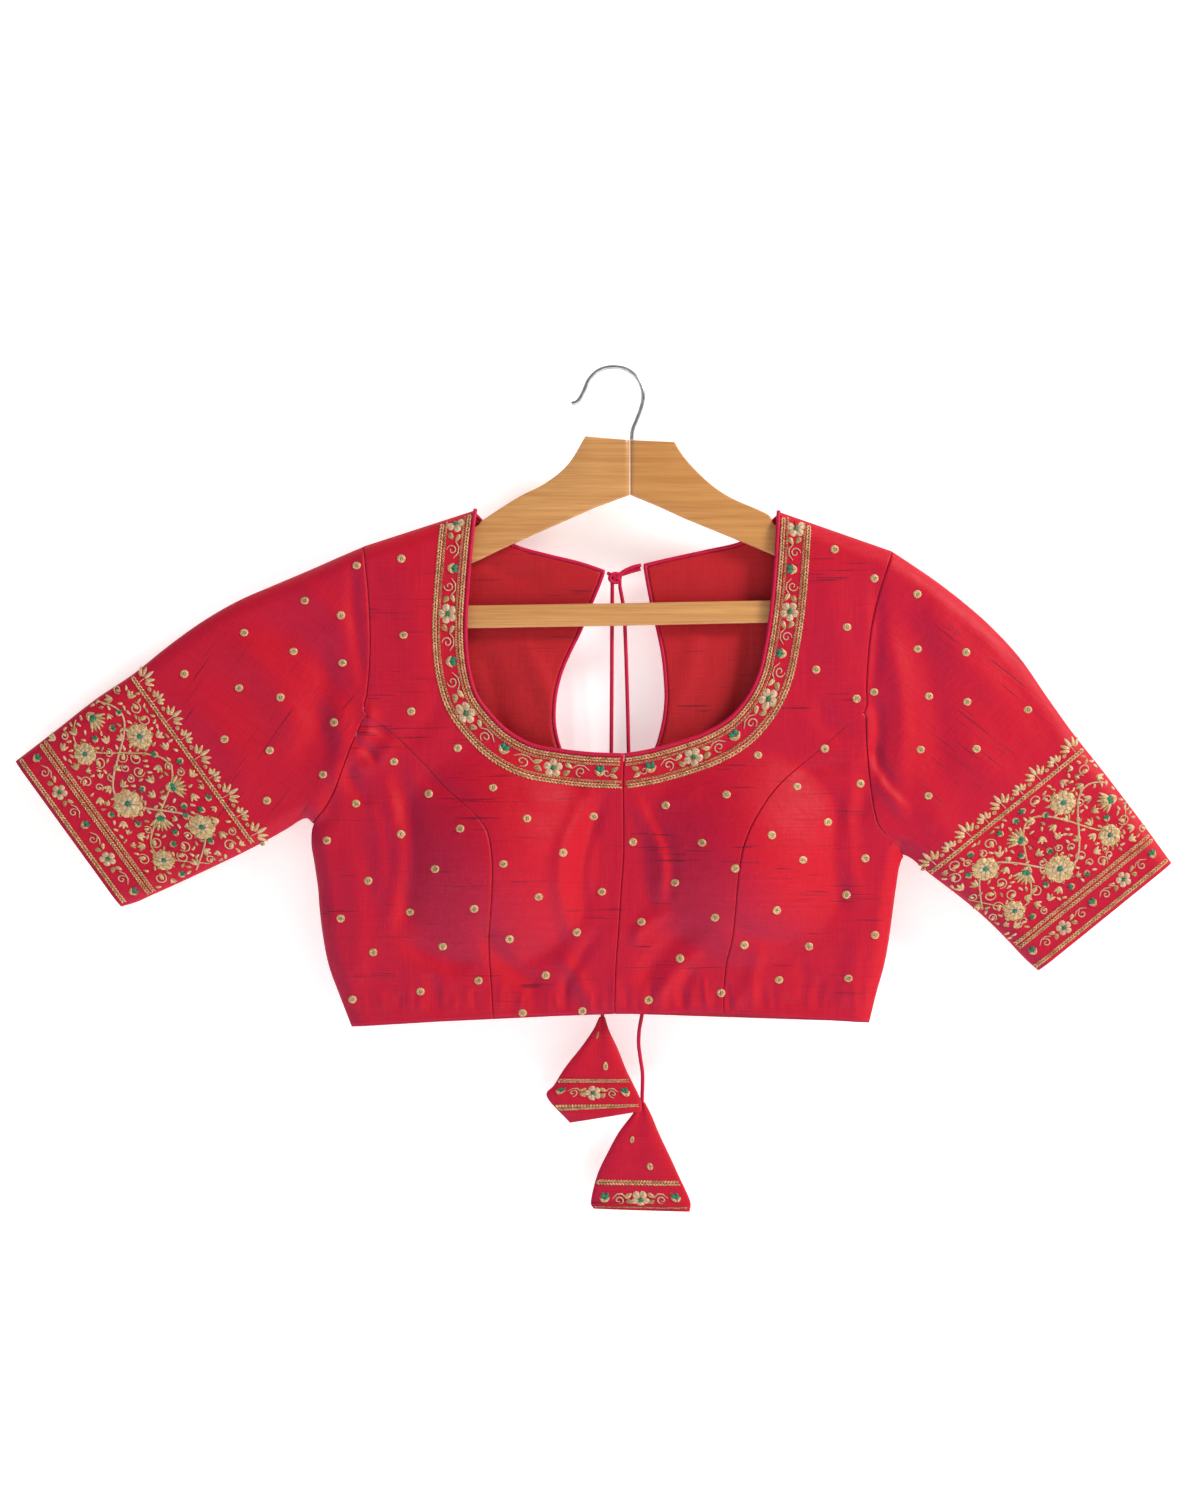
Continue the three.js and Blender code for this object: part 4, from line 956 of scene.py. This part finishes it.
# ---------------------------------------------------------------- hanger
def bar_mesh(rows, T, rad, per):
    fr = spline(np.array(rows, float), per) if per > 1 else np.array(rows, float)
    V, F = [], []
    ring = []
    for cx, cy, a0 in ((0, 1, 0), (0, -1, 90), (1, -1, 180), (1, 1, 270)):
        ring.append((cx, cy, a0))
    seq = []
    for end, ysg, a0 in ((0, 1, 90), (0, -1, 180), (1, -1, 270), (1, 1, 0)):
        for k in range(5):
            seq.append((end, ysg, math.radians(a0 - 90 + k * 22.5)))
    m = len(seq)
    for i, (tx, tz, lx, lz) in enumerate(fr):
        L = math.hypot(lx - tx, lz - tz); ux, uz = (lx - tx) / L, (lz - tz) / L
        r = min(rad, L / 2.2)
        for end, ysg, a in seq:
            # a runs round the corner, from the side face to the edge
            k = (a - math.radians({(0, 1): 0, (0, -1): 90, (1, -1): 180, (1, 1): -90}[(end, ysg)])) / math.radians(90)
            k = min(max(k, 0), 1)
            if (end, ysg) in ((0, 1), (1, -1)):
                along, over = r - r * math.sin(k * math.pi / 2), r - r * math.cos(k * math.pi / 2)
            else:
                along, over = r - r * math.cos(k * math.pi / 2), r - r * math.sin(k * math.pi / 2)
            y = ysg * (T / 2 - over)
            d = along if end == 0 else L - along
            V.append((tx + ux * d, y, tz + uz * d))
        if i:
            for j in range(m):
                F.append(((i - 1) * m + j, (i - 1) * m + (j + 1) % m, i * m + (j + 1) % m, i * m + j))
    F.append(tuple(range(m))[::-1]); F.append(tuple((len(fr) - 1) * m + k for k in range(m)))
    return V, F
BAR = [(-193, -187.6, -193, -194.4), (-190.6, -186.4, -190.6, -194.4), (-175, -178.2, -175, -194.3), (-106.5, -177.4, -106.5, -194.6), (0, -175.8, 0, -192.8), (117.5, -173.6, 117.5, -190.4), (191.8, -172.8, 191.8, -188.6), (212.6, -182.4, 212.6, -188.8), (215.6, -184, 215.6, -188.8)]
def dense(rows, n):
    r = np.array(rows, float); i = np.linspace(0, len(r) - 1, n)
    return np.stack([np.interp(i, np.arange(len(r)), r[:, k]) for k in range(4)], 1)
def arm_rows(rows):
    r = [tuple(q) for q in rows]
    return np.vstack([dense(r[:2], 8)[:-1], spline(np.array(r[1:], float), 6)])
# the lighter wood copy paints light on the right arm and the bar, the darker copy paints shade on the left arm
for name, rows, T, rad, mat in (("arm_right", arm_rows(ARM_RIGHT), 7, 1.2, WOOD_LIT), ("arm_left", arm_rows(ARM_LEFT), 7, 1.2, WOOD_SHADED), ("bar", dense(BAR, 60), 6, 1.0, WOOD_LIT)):
    v, f = bar_mesh(rows, T, rad, 1)
    ob = joined("wood_" + name, [(v, f, 0)], [mat]); fix_normals(ob)
    register(ob, ["hanger_" + name])
wire = spline([(x, 0, z) for x, z in HOOK_WIRE], 10)
v, f = tube(wire, 1.6, 14)
ob = joined("hook_wire", [(v, f, 0)], [STEEL]); fix_normals(ob)
register(ob, ["hanger_hook"])

# ---------------------------------------------------------------- embroidery
class Stitcher:
    """Collects raised stitches laid on a surface: u, v in mm to a point, then lifted off the cloth."""
    def __init__(self, name):
        self.name, self.V, self.H, self.F, self.I = name, [], [], [], []
        self.ok = None
    def add(self, pts, heights, faces, mid):
        if self.ok and not all(self.ok(p) for p in pts):
            return
        o = len(self.V)
        self.V += [tuple(p) for p in pts]; self.H += list(heights)
        self.F += [tuple(o + k for k in f) for f in faces]; self.I += [mid] * len(faces)
    def blob(self, outline, h, mid):
        c = np.mean(outline, axis=0); n = len(outline)
        mid_ring = c + (np.array(outline) - c) * 0.62
        pts = list(outline) + list(mid_ring) + [c]
        f = []
        for k in range(n):
            q = (k + 1) % n
            f += [(k, q, n + q, n + k), (n + k, n + q, 2 * n)]
        self.add(pts, [-0.15] * n + [h * 0.85] * n + [h], f, mid)
    def stroke(self, line, w, h, mid):
        p = np.array(line, float); t = np.gradient(p, axis=0); t /= np.linalg.norm(t, axis=1)[:, None] + 1e-9
        nn = np.stack([-t[:, 1], t[:, 0]], 1)
        k = np.sin(np.linspace(0.12, 1, len(p)) * math.pi * 0.93) ** 0.35
        pts, hs, f = [], [], []
        for i in range(len(p)):
            ww = w / 2 * max(0.3, k[i])
            pts += [p[i] - nn[i] * ww, p[i], p[i] + nn[i] * ww]; hs += [-0.15, h, -0.15]
            if i:
                a, b = 3 * (i - 1), 3 * i
                f += [(a, a + 1, b + 1, b), (a + 1, a + 2, b + 2, b + 1)]
        self.add(pts, hs, f, mid)
    def leaf(self, c, ang, L, W, mid, h=0.9, vein=True):
        ca, sa = math.cos(ang), math.sin(ang)
        pts = []
        for k in range(10):
            a = 2 * math.pi * k / 10
            x = math.cos(a) * L / 2; y = math.sin(a) * W / 2 * (1 - 0.35 * math.cos(a))
            pts.append((c[0] + x * ca - y * sa, c[1] + x * sa + y * ca))
        self.blob(pts, h, mid)
        if vein:
            self.stroke([(c[0] - ca * L * 0.4, c[1] - sa * L * 0.4), c, (c[0] + ca * L * 0.42, c[1] + sa * L * 0.42)], 0.55, h + 0.25, 1)
    def flower(self, c, r, petals=5, ang=0.0, mid=2, eye=3, layers=1):
        for ring in range(layers):
            rr = r * (1 - 0.42 * ring)
            for k in range(petals):
                a = ang + 2 * math.pi * (k + 0.5 * ring) / petals
                pc = (c[0] + math.cos(a) * rr * 0.6, c[1] + math.sin(a) * rr * 0.6)
                pts = []
                for j in range(10):
                    b = 2 * math.pi * j / 10
                    x, y = math.cos(b) * rr * 0.42, math.sin(b) * rr * 0.40 * (1 + 0.25 * math.cos(b))
                    pts.append((pc[0] + x * math.cos(a) - y * math.sin(a), pc[1] + x * math.sin(a) + y * math.cos(a)))
                self.blob(pts, 0.9 + 0.5 * ring, mid if ring == 0 else 2)
                self.stroke([(c[0] + math.cos(a) * rr * 0.25, c[1] + math.sin(a) * rr * 0.25), (c[0] + math.cos(a) * rr * 0.85, c[1] + math.sin(a) * rr * 0.85)], 0.5, 1.25, 1)
        self.blob([(c[0] + math.cos(2 * math.pi * k / 8) * r * 0.24, c[1] + math.sin(2 * math.pi * k / 8) * r * 0.24) for k in range(8)], 1.5 + 0.3 * layers, eye)
    def spiral(self, c, r, a0, turns, w, mid=2, sgn=1):
        n = int(14 * turns) + 4
        self.stroke([(c[0] + math.cos(a0 + sgn * 2 * math.pi * turns * i / n) * r * (1 - 0.8 * i / n), c[1] + math.sin(a0 + sgn * 2 * math.pi * turns * i / n) * r * (1 - 0.8 * i / n)) for i in range(n + 1)], w, 0.7, mid)
    def chain(self, line, w=3.6, step=2.3):
        p = np.array(line, float); seg = np.linalg.norm(np.diff(p, axis=0), axis=1); s = np.concatenate([[0], np.cumsum(seg)])
        for q in np.arange(step / 2, s[-1], step):
            x, y = np.interp(q, s, p[:, 0]), np.interp(q, s, p[:, 1])
            x2, y2 = np.interp(q + 1, s, p[:, 0]), np.interp(q + 1, s, p[:, 1])
            x1, y1 = np.interp(q - 1, s, p[:, 0]), np.interp(q - 1, s, p[:, 1])
            a = math.atan2(y2 - y1, x2 - x1)
            for sd in (-1, 1):
                aa = a + sd * 0.42 + rnd.uniform(-0.1, 0.1)
                cx, cy = x - math.sin(a) * sd * w * 0.24, y + math.cos(a) * sd * w * 0.24
                ca, sa = math.cos(aa), math.sin(aa)
                L, W = step * 1.45, w * 0.36
                pts = [(cx + u * ca * L / 2 - v * sa * W / 2, cy + u * sa * L / 2 + v * ca * W / 2) for u, v in ((1, 0), (0.5, 0.9), (-0.5, 0.9), (-1, 0), (-0.5, -0.9), (0.5, -0.9))]
                self.blob(pts, 0.75, 0 if rnd.random() < 0.78 else 1)
    def bud(self, c, a, sc=1.0):
        """A green heart between two gold leaves."""
        ca, sa = math.cos(a), math.sin(a)
        for sd in (-1, 1):
            b = a + sd * 0.75
            self.leaf((c[0] - ca * 2.6 * sc + math.cos(b) * 2.6 * sc, c[1] - sa * 2.6 * sc + math.sin(b) * 2.6 * sc), b, 6.4 * sc, 2.8 * sc, 0)
        for sd in (-1, 1):
            cc = (c[0] + ca * 2.6 * sc - sa * sd * 1.5 * sc, c[1] + sa * 2.6 * sc + ca * sd * 1.5 * sc)
            self.leaf(cc, a + sd * 0.35, 5.2 * sc, 3.6 * sc, 3, 1.2, False)
    def butta(self, c, r=3.2):
        a0 = rnd.uniform(0, 3); n = 14; e = rnd.uniform(0.86, 1.0)
        R = [[(c[0] + math.cos(a0 + 2 * math.pi * k / n) * q, c[1] + math.sin(a0 + 2 * math.pi * k / n) * q * e) for k in range(n)] for q in (r, r * 0.72, r * 0.34)]
        f = []
        for k in range(n):
            q = (k + 1) % n
            f += [(k, q, n + q, n + k), (n + k, n + q, 2 * n + q, 2 * n + k)]
        self.add(R[0] + R[1] + R[2], [-0.2] * n + [0.95] * n + [0.25] * n, f, 0)
        self.blob(R[2], 0.45, 1)
        self.stroke([(c[0] - math.cos(a0) * r * 0.45, c[1] - math.sin(a0) * r * 0.45), c, (c[0] + math.cos(a0) * r * 0.45, c[1] + math.sin(a0) * r * 0.45)], 0.9, 1.0, 0)
    def build(self, place):
        uv = np.array(self.V, float); h = np.array(self.H, float)
        pts = place(uv, h) * 0.001
        ob = new_mesh(self.name, pts, self.F, [GOLD, GOLD_D, PALE, GREEN], True, self.I)
        register(ob, ())
        return ob
def on_front(uv, h):
    return np.stack([uv[:, 0], front_y(uv[:, 0], uv[:, 1]) - 0.12 - h, uv[:, 1]], 1)
def on_back(uv, h):
    return np.stack([uv[:, 0], back_y(uv[:, 0], uv[:, 1]) + 0.12 + h, uv[:, 1]], 1)

class Warp(Stitcher):
    """Stitches drawn along a strip: u along it, v across it."""
    def __init__(self, name, f):
        super().__init__(name); self.f = f
    def add(self, pts, heights, faces, mid):
        q = self.f(np.array(pts, float))
        super().add([tuple(k) for k in q], heights, faces, mid)
def strip_map(line, inward):
    """u is the way along a line, v the way off it, towards `inward`."""
    p = np.array(line, float); s = np.concatenate([[0], np.cumsum(np.linalg.norm(np.diff(p, axis=0), axis=1))])
    t = np.gradient(p, axis=0); t /= np.linalg.norm(t, axis=1)[:, None]
    n = np.stack([-t[:, 1], t[:, 0]], 1)
    if (n * inward).sum() < 0: n = -n
    k = np.ones(9) / 9
    def f(uv):
        u, v = uv[:, 0], uv[:, 1]
        x, z = np.interp(u, s, p[:, 0]), np.interp(u, s, p[:, 1])
        ex = np.clip(u - s[-1], 0, None) + np.clip(u, None, 0)
        tx, tz = np.interp(u, s, t[:, 0]), np.interp(u, s, t[:, 1])
        nx, nz = np.interp(u, s, n[:, 0]), np.interp(u, s, n[:, 1])
        return np.stack([x + tx * ex + nx * v, z + tz * ex + nz * v], 1)
    return f, s[-1], p, s
def border_run(st, u0, u1, v, sc, flip=1, first="flower", rep=65.0):
    """The traditional running border: flower, leaf and scroll, green bud, scroll and leaf."""
    n = max(1, int(round((u1 - u0) / (rep / 2))))
    step = (u1 - u0) / n
    for i in range(n + 1):
        u = u0 + i * step
        if (i % 2 == 0) == (first == "flower"):
            st.flower((u, v), 7.2 * sc, 5, rnd.uniform(0, 1), 2, 3)
        else:
            st.bud((u, v + 0.5 * flip), math.pi / 2 * flip, sc)
        if i < n:
            m = u + step * 0.5
            d = 1 if (i % 2 == 0) == (first == "flower") else -1
            st.leaf((m - d * step * 0.17, v + 3.2 * sc * flip), 0.5 * d, 6.5 * sc, 3.4 * sc, 0)
            st.leaf((m - d * step * 0.20, v - 2.2 * sc * flip), -0.7 * d, 6.0 * sc, 4.2 * sc, 1)
            st.spiral((m + d * step * 0.10, v - 0.4 * flip), 4.0 * sc, math.pi / 2 * (1 if d > 0 else 1), 1.15, 0.95, 2, d)
            st.stroke([(m - d * step * 0.10, v + 1.5 * flip), (m + d * step * 0.02, v + 4.6 * sc * flip), (m + d * step * 0.16, v + 4.4 * sc * flip), (m + d * step * 0.28, v + 1.0 * flip)], 0.95, 0.7, 2)
for side, rows in (("right", FRONT_CENTRE_RIGHT), ("left", FRONT_CENTRE_LEFT)):
    neck = [q for q in rows if q[4] == 1]
    line = spline([q[:2] for q in neck], 10)
    sgn = -1 if side == "right" else 1
    f, L, p, s = strip_map(line, np.tile(np.array([[sgn * 1.0, -0.6]]), (len(line), 1)))
    st = Warp("neck_embroidery_" + side, f)
    top_in, top_out = rows[0][:2], rows[0][2:4]
    def on_cloth(q, a=top_in, b=top_out, rows=rows, sgn=sgn):
        z = a[1] + (b[1] - a[1]) * (q[0] - a[0]) / (b[0] - a[0])
        cf = np.interp(-q[1], [-r_[1] for r_ in rows if r_[4] == 0], [r_[0] for r_ in rows if r_[4] == 0])
        return q[1] < z - 1.0 and (q[0] - cf) * sgn > 0.5
    st.ok = on_cloth
    st.chain([(u, 5.2) for u in np.linspace(0.2, L + 1.5, 60)], 3.8)
    st.chain([(u, 8.6) for u in np.linspace(0.2, L + 1.5, 60)], 1.6, 1.9)
    st.chain([(u, 24.6) for u in np.linspace(0.2, L + 1.5, 60)], 3.8)
    st.chain([(u, 21.4) for u in np.linspace(0.2, L + 1.5, 60)], 1.6, 1.9)
    border_run(st, 12, L - 17.5, 15.0, 0.98, -1, "flower")
    st.leaf((L - 7, 17.6), 0.5, 6, 3.2, 0); st.leaf((L - 6.5, 12.4), -0.6, 6, 3.6, 1); st.spiral((L - 12.5, 15), 3.0, 0, 1.1, 0.9)
    st.build(on_front)
# gold dots, staggered over the cloth
from mathutils.geometry import delaunay_2d_cdt
def inside(pt, poly):
    x, y = pt; c = False
    for (ax, ay), (bx, by) in zip(poly, poly[1:] + poly[:1]):
        if (ay > y) != (by > y) and x < (bx - ax) * (y - ay) / (by - ay) + ax:
            c = not c
    return c
def outline_front():
    neckR = [tuple(q[:2]) for q in FRONT_CENTRE_RIGHT if q[4] == 1]
    neckL = [tuple(q[:2]) for q in FRONT_CENTRE_LEFT if q[4] == 1]
    right = [tuple(q[2:4]) for q in FRONT_CENTRE_RIGHT[:8]] + [tuple(q[2:4]) for q in FRONT_SIDE_RIGHT[1:]]
    left = [tuple(q[2:4]) for q in FRONT_CENTRE_LEFT[:8]] + [tuple(q[2:4]) for q in FRONT_SIDE_LEFT[1:]]
    return neckR + neckL[::-1] + left + right[::-1]
def near(pt, line, r):
    return dist_line(np.array([pt[0]]), np.array([pt[1]]), np.array(line))[0] < r
poly = outline_front()
neck_line = [tuple(q[:2]) for q in FRONT_CENTRE_RIGHT if q[4] == 1] + [tuple(q[:2]) for q in FRONT_CENTRE_LEFT if q[4] == 1][::-1]
def dots(name, poly, ang, ox, oz, place, avoid=(), keep=lambda q: True, dx=50.0, dz=47.0):
    st = Stitcher(name)
    c, s_ = math.cos(ang), math.sin(ang)
    for i in range(-18, 19):
        for j in range(-18, 19):
            a, b = i * dx + (dx / 2 if j % 2 else 0) + rnd.uniform(-4, 4), j * dz * 0.62 + rnd.uniform(-4, 4)
            q = (ox + a * c - b * s_, oz + a * s_ + b * c)
            if inside(q, poly) and keep(q) and not any(near(q, l, r) for l, r in avoid):
                st.butta(q, 3.25)
    return st.build(place)
edge_lines = [(poly + poly[:1], 5.5)]
seams = [([tuple(q[:2]) for q in FRONT_CENTRE_RIGHT if q[4] == 0], 5.0)]
dots("front_dots", poly, 0.12, 8, -300, on_front, edge_lines + seams + [(neck_line, 34.0)])
bpoly = [tuple(q[:2]) for q in BACK_RIGHT if q[1] > -313] + [(-2.5, -316)] + [tuple(q[:2]) for q in BACK_LEFT if q[1] > -313][::-1] + [tuple(q[2:4]) for q in BACK_LEFT] + [tuple(q[2:4]) for q in BACK_RIGHT][::-1]
dots("back_dots", bpoly, -0.1, 2, -296, on_back, [(bpoly + bpoly[:1], 7.0), ([(-2.0, -160), (-2.0, -480)], 7), ([(14, -316), (20, -480)], 8)])
for side, rows, bow in (("right", SLEEVE_RIGHT, BOW_RIGHT), ("left", SLEEVE_LEFT, BOW_LEFT)):
    top, bot = np.array([q[:2] for q in rows]), np.array([q[2:4] for q in rows])
    sgn = -1 if side == "right" else 1
    cu = np.array([rows[-1][:2], rows[-1][2:4]], float)
    W = np.linalg.norm(cu[1] - cu[0])
    d = (cu[1] - cu[0]) / W
    nrm = np.array([-d[1], d[0]])
    if nrm.dot(np.array([-sgn, 0.35])) < 0: nrm = -nrm
    arm = [(rows[0][0] + b[1] + (rows[0][2] - rows[0][0]) * b[0], rows[0][1] + (rows[0][3] - rows[0][1]) * b[0]) for b in bow]
    spoly = [tuple(q) for q in top] + [tuple(q) for q in bot[::-1]] + [a for a in arm[::-1]]
    fold = [tuple(q) for q in top], [tuple(q) for q in bot]
    for face, place in (("front", on_front), ("back", on_back)):
        keep = lambda q: (np.array(q) - cu[0]).dot(nrm) > 134
        dots("sleeve_%s_dots_%s" % (side, face), spoly, -0.55 * sgn if side == "right" else 0.75, rows[0][0] + sgn * 60, -250, place, [(arm, 5.5), (fold[0], 5.0), (fold[1], 5.0)], keep)
        # the cuff band: edge chain, narrow border, double line, dense garden, chain line, florets
        def cuff_map(uv):
            v = uv[:, 1]; t = uv[:, 0] / W
            base = cu[0] + np.outer(v, nrm)
            # both folds at this distance from the cuff
            tv = (top - cu[0]) @ nrm; bv = (bot - cu[0]) @ nrm
            o1, o2 = np.argsort(tv), np.argsort(bv)
            T = np.stack([np.interp(v, tv[o1], top[o1, 0]), np.interp(v, tv[o1], top[o1, 1])], 1)
            B = np.stack([np.interp(v, bv[o2], bot[o2, 0]), np.interp(v, bv[o2], bot[o2, 1])], 1)
            return T + (B - T) * t[:, None]
        st = Warp("sleeve_%s_embroidery_%s" % (side, face), cuff_map)
        for v, w, stp in ((4.2, 3.6, 2.3), (23.0, 3.0, 2.2), (27.0, 3.0, 2.2), (108.5, 3.6, 2.3)):
            st.chain([(u, v) for u in np.linspace(1.6, W - 1.6, 30)], w, stp)
        border_run(st, 8, W - 8, 13.6, 0.80, 1, "bud", 54)
        # florets: fans of short leaves
        k = 9
        for i in range(k):
            u = 7 + (W - 14) * i / (k - 1); hgt = 13.5 if i % 2 == 0 else 9.5
            for a in (-0.85, -0.45, 0.0, 0.45, 0.85):
                b = math.pi / 2 + a; r = hgt * (1 - 0.22 * abs(a))
                st.leaf((u + math.cos(b) * r * 0.62, 111.5 + math.sin(b) * r * 0.62), b, r * 0.62, 2.5, 0 if abs(a) > 0.3 else 2, 0.8, False)
            st.stroke([(u, 110.5), (u, 111.5 + hgt * 0.5)], 0.8, 0.6, 2)
            st.butta((u + (W - 14) / (k - 1) / 2, 113.6), 1.5)
        # the garden: an own layout of scalloped flowers, fans and vines
        R = random.Random(31)
        taken = []
        def free(q, r):
            return 29 + r < q[1] < 106.5 - r and r * 0.8 < q[0] < W - r * 0.8 and all((q[0] - t[0]) ** 2 + (q[1] - t[1]) ** 2 > (r + t[2]) ** 2 * 0.70 for t in taken)
        vine = [(u, 66 + 20 * math.sin(u / W * 2 * math.pi * 1.5 + 0.4)) for u in np.linspace(3, W - 3, 60)]
        for q, r in (((W * 0.52, 50), 10.5), ((W * 0.80, 85), 9.0), ((W * 0.27, 87), 9.0), ((W * 0.19, 46), 8.0), ((W * 0.86, 47), 7.6)):
            st.flower(q, r, 7, R.uniform(0, 1), 0, 3, 2); taken.append((*q, r))
            for k in range(8):
                a = 2 * math.pi * k / 8 + 0.4
                st.spiral((q[0] + math.cos(a) * r * 0.98, q[1] + math.sin(a) * r * 0.98), r * 0.13, a, 1.0, 0.7, 0)
        for q, a0 in (((W * 0.56, 84), 1.2), ((W * 0.06, 66), 0.3), ((W * 0.66, 64), -0.5)):
            for k in range(7):
                a = a0 - 0.9 + 0.3 * k
                st.leaf((q[0] + math.cos(a) * 6.2, q[1] + math.sin(a) * 6.2), a, 9.0, 2.5, 1 if k % 2 else 0, 0.9, False)
            st.bud((q[0] - math.cos(a0) * 1.0, q[1] - math.sin(a0) * 1.0), a0, 0.95); taken.append((q[0] + math.cos(a0) * 3, q[1] + math.sin(a0) * 3, 9.5))
        st.stroke(vine, 1.5, 0.85, 2)
        st.stroke([(u, 69 - 24 * math.sin(u / W * 2 * math.pi * 1.5 + 0.4)) for u in np.linspace(3, W - 3, 60)], 1.3, 0.75, 0)
        for tries in range(4200):
            r = 4.9 if tries < 700 else 3.5 if tries < 1500 else 2.1
            q = (R.uniform(2, W - 2), R.uniform(30, 106))
            if not free(q, r): continue
            taken.append((*q, r))
            pick = R.random(); a = R.uniform(0, 2 * math.pi)
            if r > 4 and pick < 0.3:
                st.bud(q, a, 0.62)
            elif r > 3 and pick < 0.55:
                st.spiral(q, r * 0.9, a, 1.25, 0.95, 2, R.choice((-1, 1)))
                st.leaf((q[0] + math.cos(a) * r * 0.3, q[1] + math.sin(a) * r * 0.3), a + 1, r * 1.1, r * 0.6, 0, 0.8, False)
            elif r > 3:
                for b in (-0.6, 0.15, 0.8):
                    st.leaf((q[0] + math.cos(a + b) * r * 0.4, q[1] + math.sin(a + b) * r * 0.4), a + b, r * 1.25, r * 0.55, R.choice((0, 0, 2, 1)), 0.85, False)
            else:
                st.leaf(q, a, r * 1.9, r * 0.9, R.choice((0, 0, 2, 1)), 0.8, False)
        st.build(place)
# tassel bands
for side, v0, v1 in (("right", 0.60, 0.93), ("left", 0.69, 0.95)):
    at = LAT[side]
    for face, sg in (("front", -1), ("back", 1)):
        st = Stitcher("tassel_%s_embroidery_%s" % (side, face))
        W = 66.0; Hh = 24.0
        st.chain([(u, 1.8) for u in np.linspace(1.5, W - 1.5, 20)], 3.0)
        st.chain([(u, Hh - 1.6) for u in np.linspace(1.5, W - 1.5, 20)], 3.0)
        border_run(st, 9, W - 9, Hh / 2, 0.86, -1, "bud", 50)
        for q in ((W * 0.66, -9.0), (W * 0.36, -28.0)):
            st.butta(q, 2.9)
        def place(uv, h, at=at, sg=sg, v0=v0, v1=v1, W=W, Hh=Hh):
            u = np.clip(uv[:, 0] / W, 0.012, 0.988); v = v0 + (v1 - v0) * uv[:, 1] / Hh
            p = at(u, v, sg, 0.0)
            p[:, 1] += sg * (0.15 + h)
            return p
        st.build(place)
# stitch lines: a row of small stitches above the hem and beside the centre front
def stitches(name, line, place, w=0.55, length=2.2, gap=1.1):
    st = Stitcher(name)
    p = np.array(line, float); s = np.concatenate([[0], np.cumsum(np.linalg.norm(np.diff(p, axis=0), axis=1))])
    q = 1.0
    while q + length < s[-1]:
        a = (np.interp(q, s, p[:, 0]), np.interp(q, s, p[:, 1])); b = (np.interp(q + length, s, p[:, 0]), np.interp(q + length, s, p[:, 1]))
        st.stroke([a, ((a[0] + b[0]) / 2, (a[1] + b[1]) / 2), b], w, 0.22, 0)
        q += length + gap
    uv = np.array(st.V, float); h = np.array(st.H, float)
    ob = new_mesh(name, place(uv, h * 0.5) * 0.001, st.F, [SILK_PLAIN], True, [0] * len(st.F))
    register(ob, ())
hemR = [(-195.5, -490.2), (-154.5, -488.8), (-121.5, -486.6), (-90.8, -484.0), (-56.6, -482.0), (-11.3, -480.6), (-0.5, -480.6)]
hemL = [(2, -480.8), (19.5, -481.2), (66, -480.3), (96.8, -480.4), (127.3, -481.8), (165.5, -485.0), (190.5, -487.4)]
stitches("hem_stitches_right", hemR, on_front); stitches("hem_stitches_left", hemL, on_front)
stitches("hem_stitches_back", [(-195, -490.0), (-90, -485.0), (0, -481.0), (100, -482.5), (190, -487.2)], on_back)
princ = [[q[2] + 2.0, q[3]] for q in FRONT_CENTRE_RIGHT[13:]]
stitches("centre_stitches", [(q[0] - 4.5, q[1]) for q in FRONT_CENTRE_RIGHT if q[4] == 0], on_front)
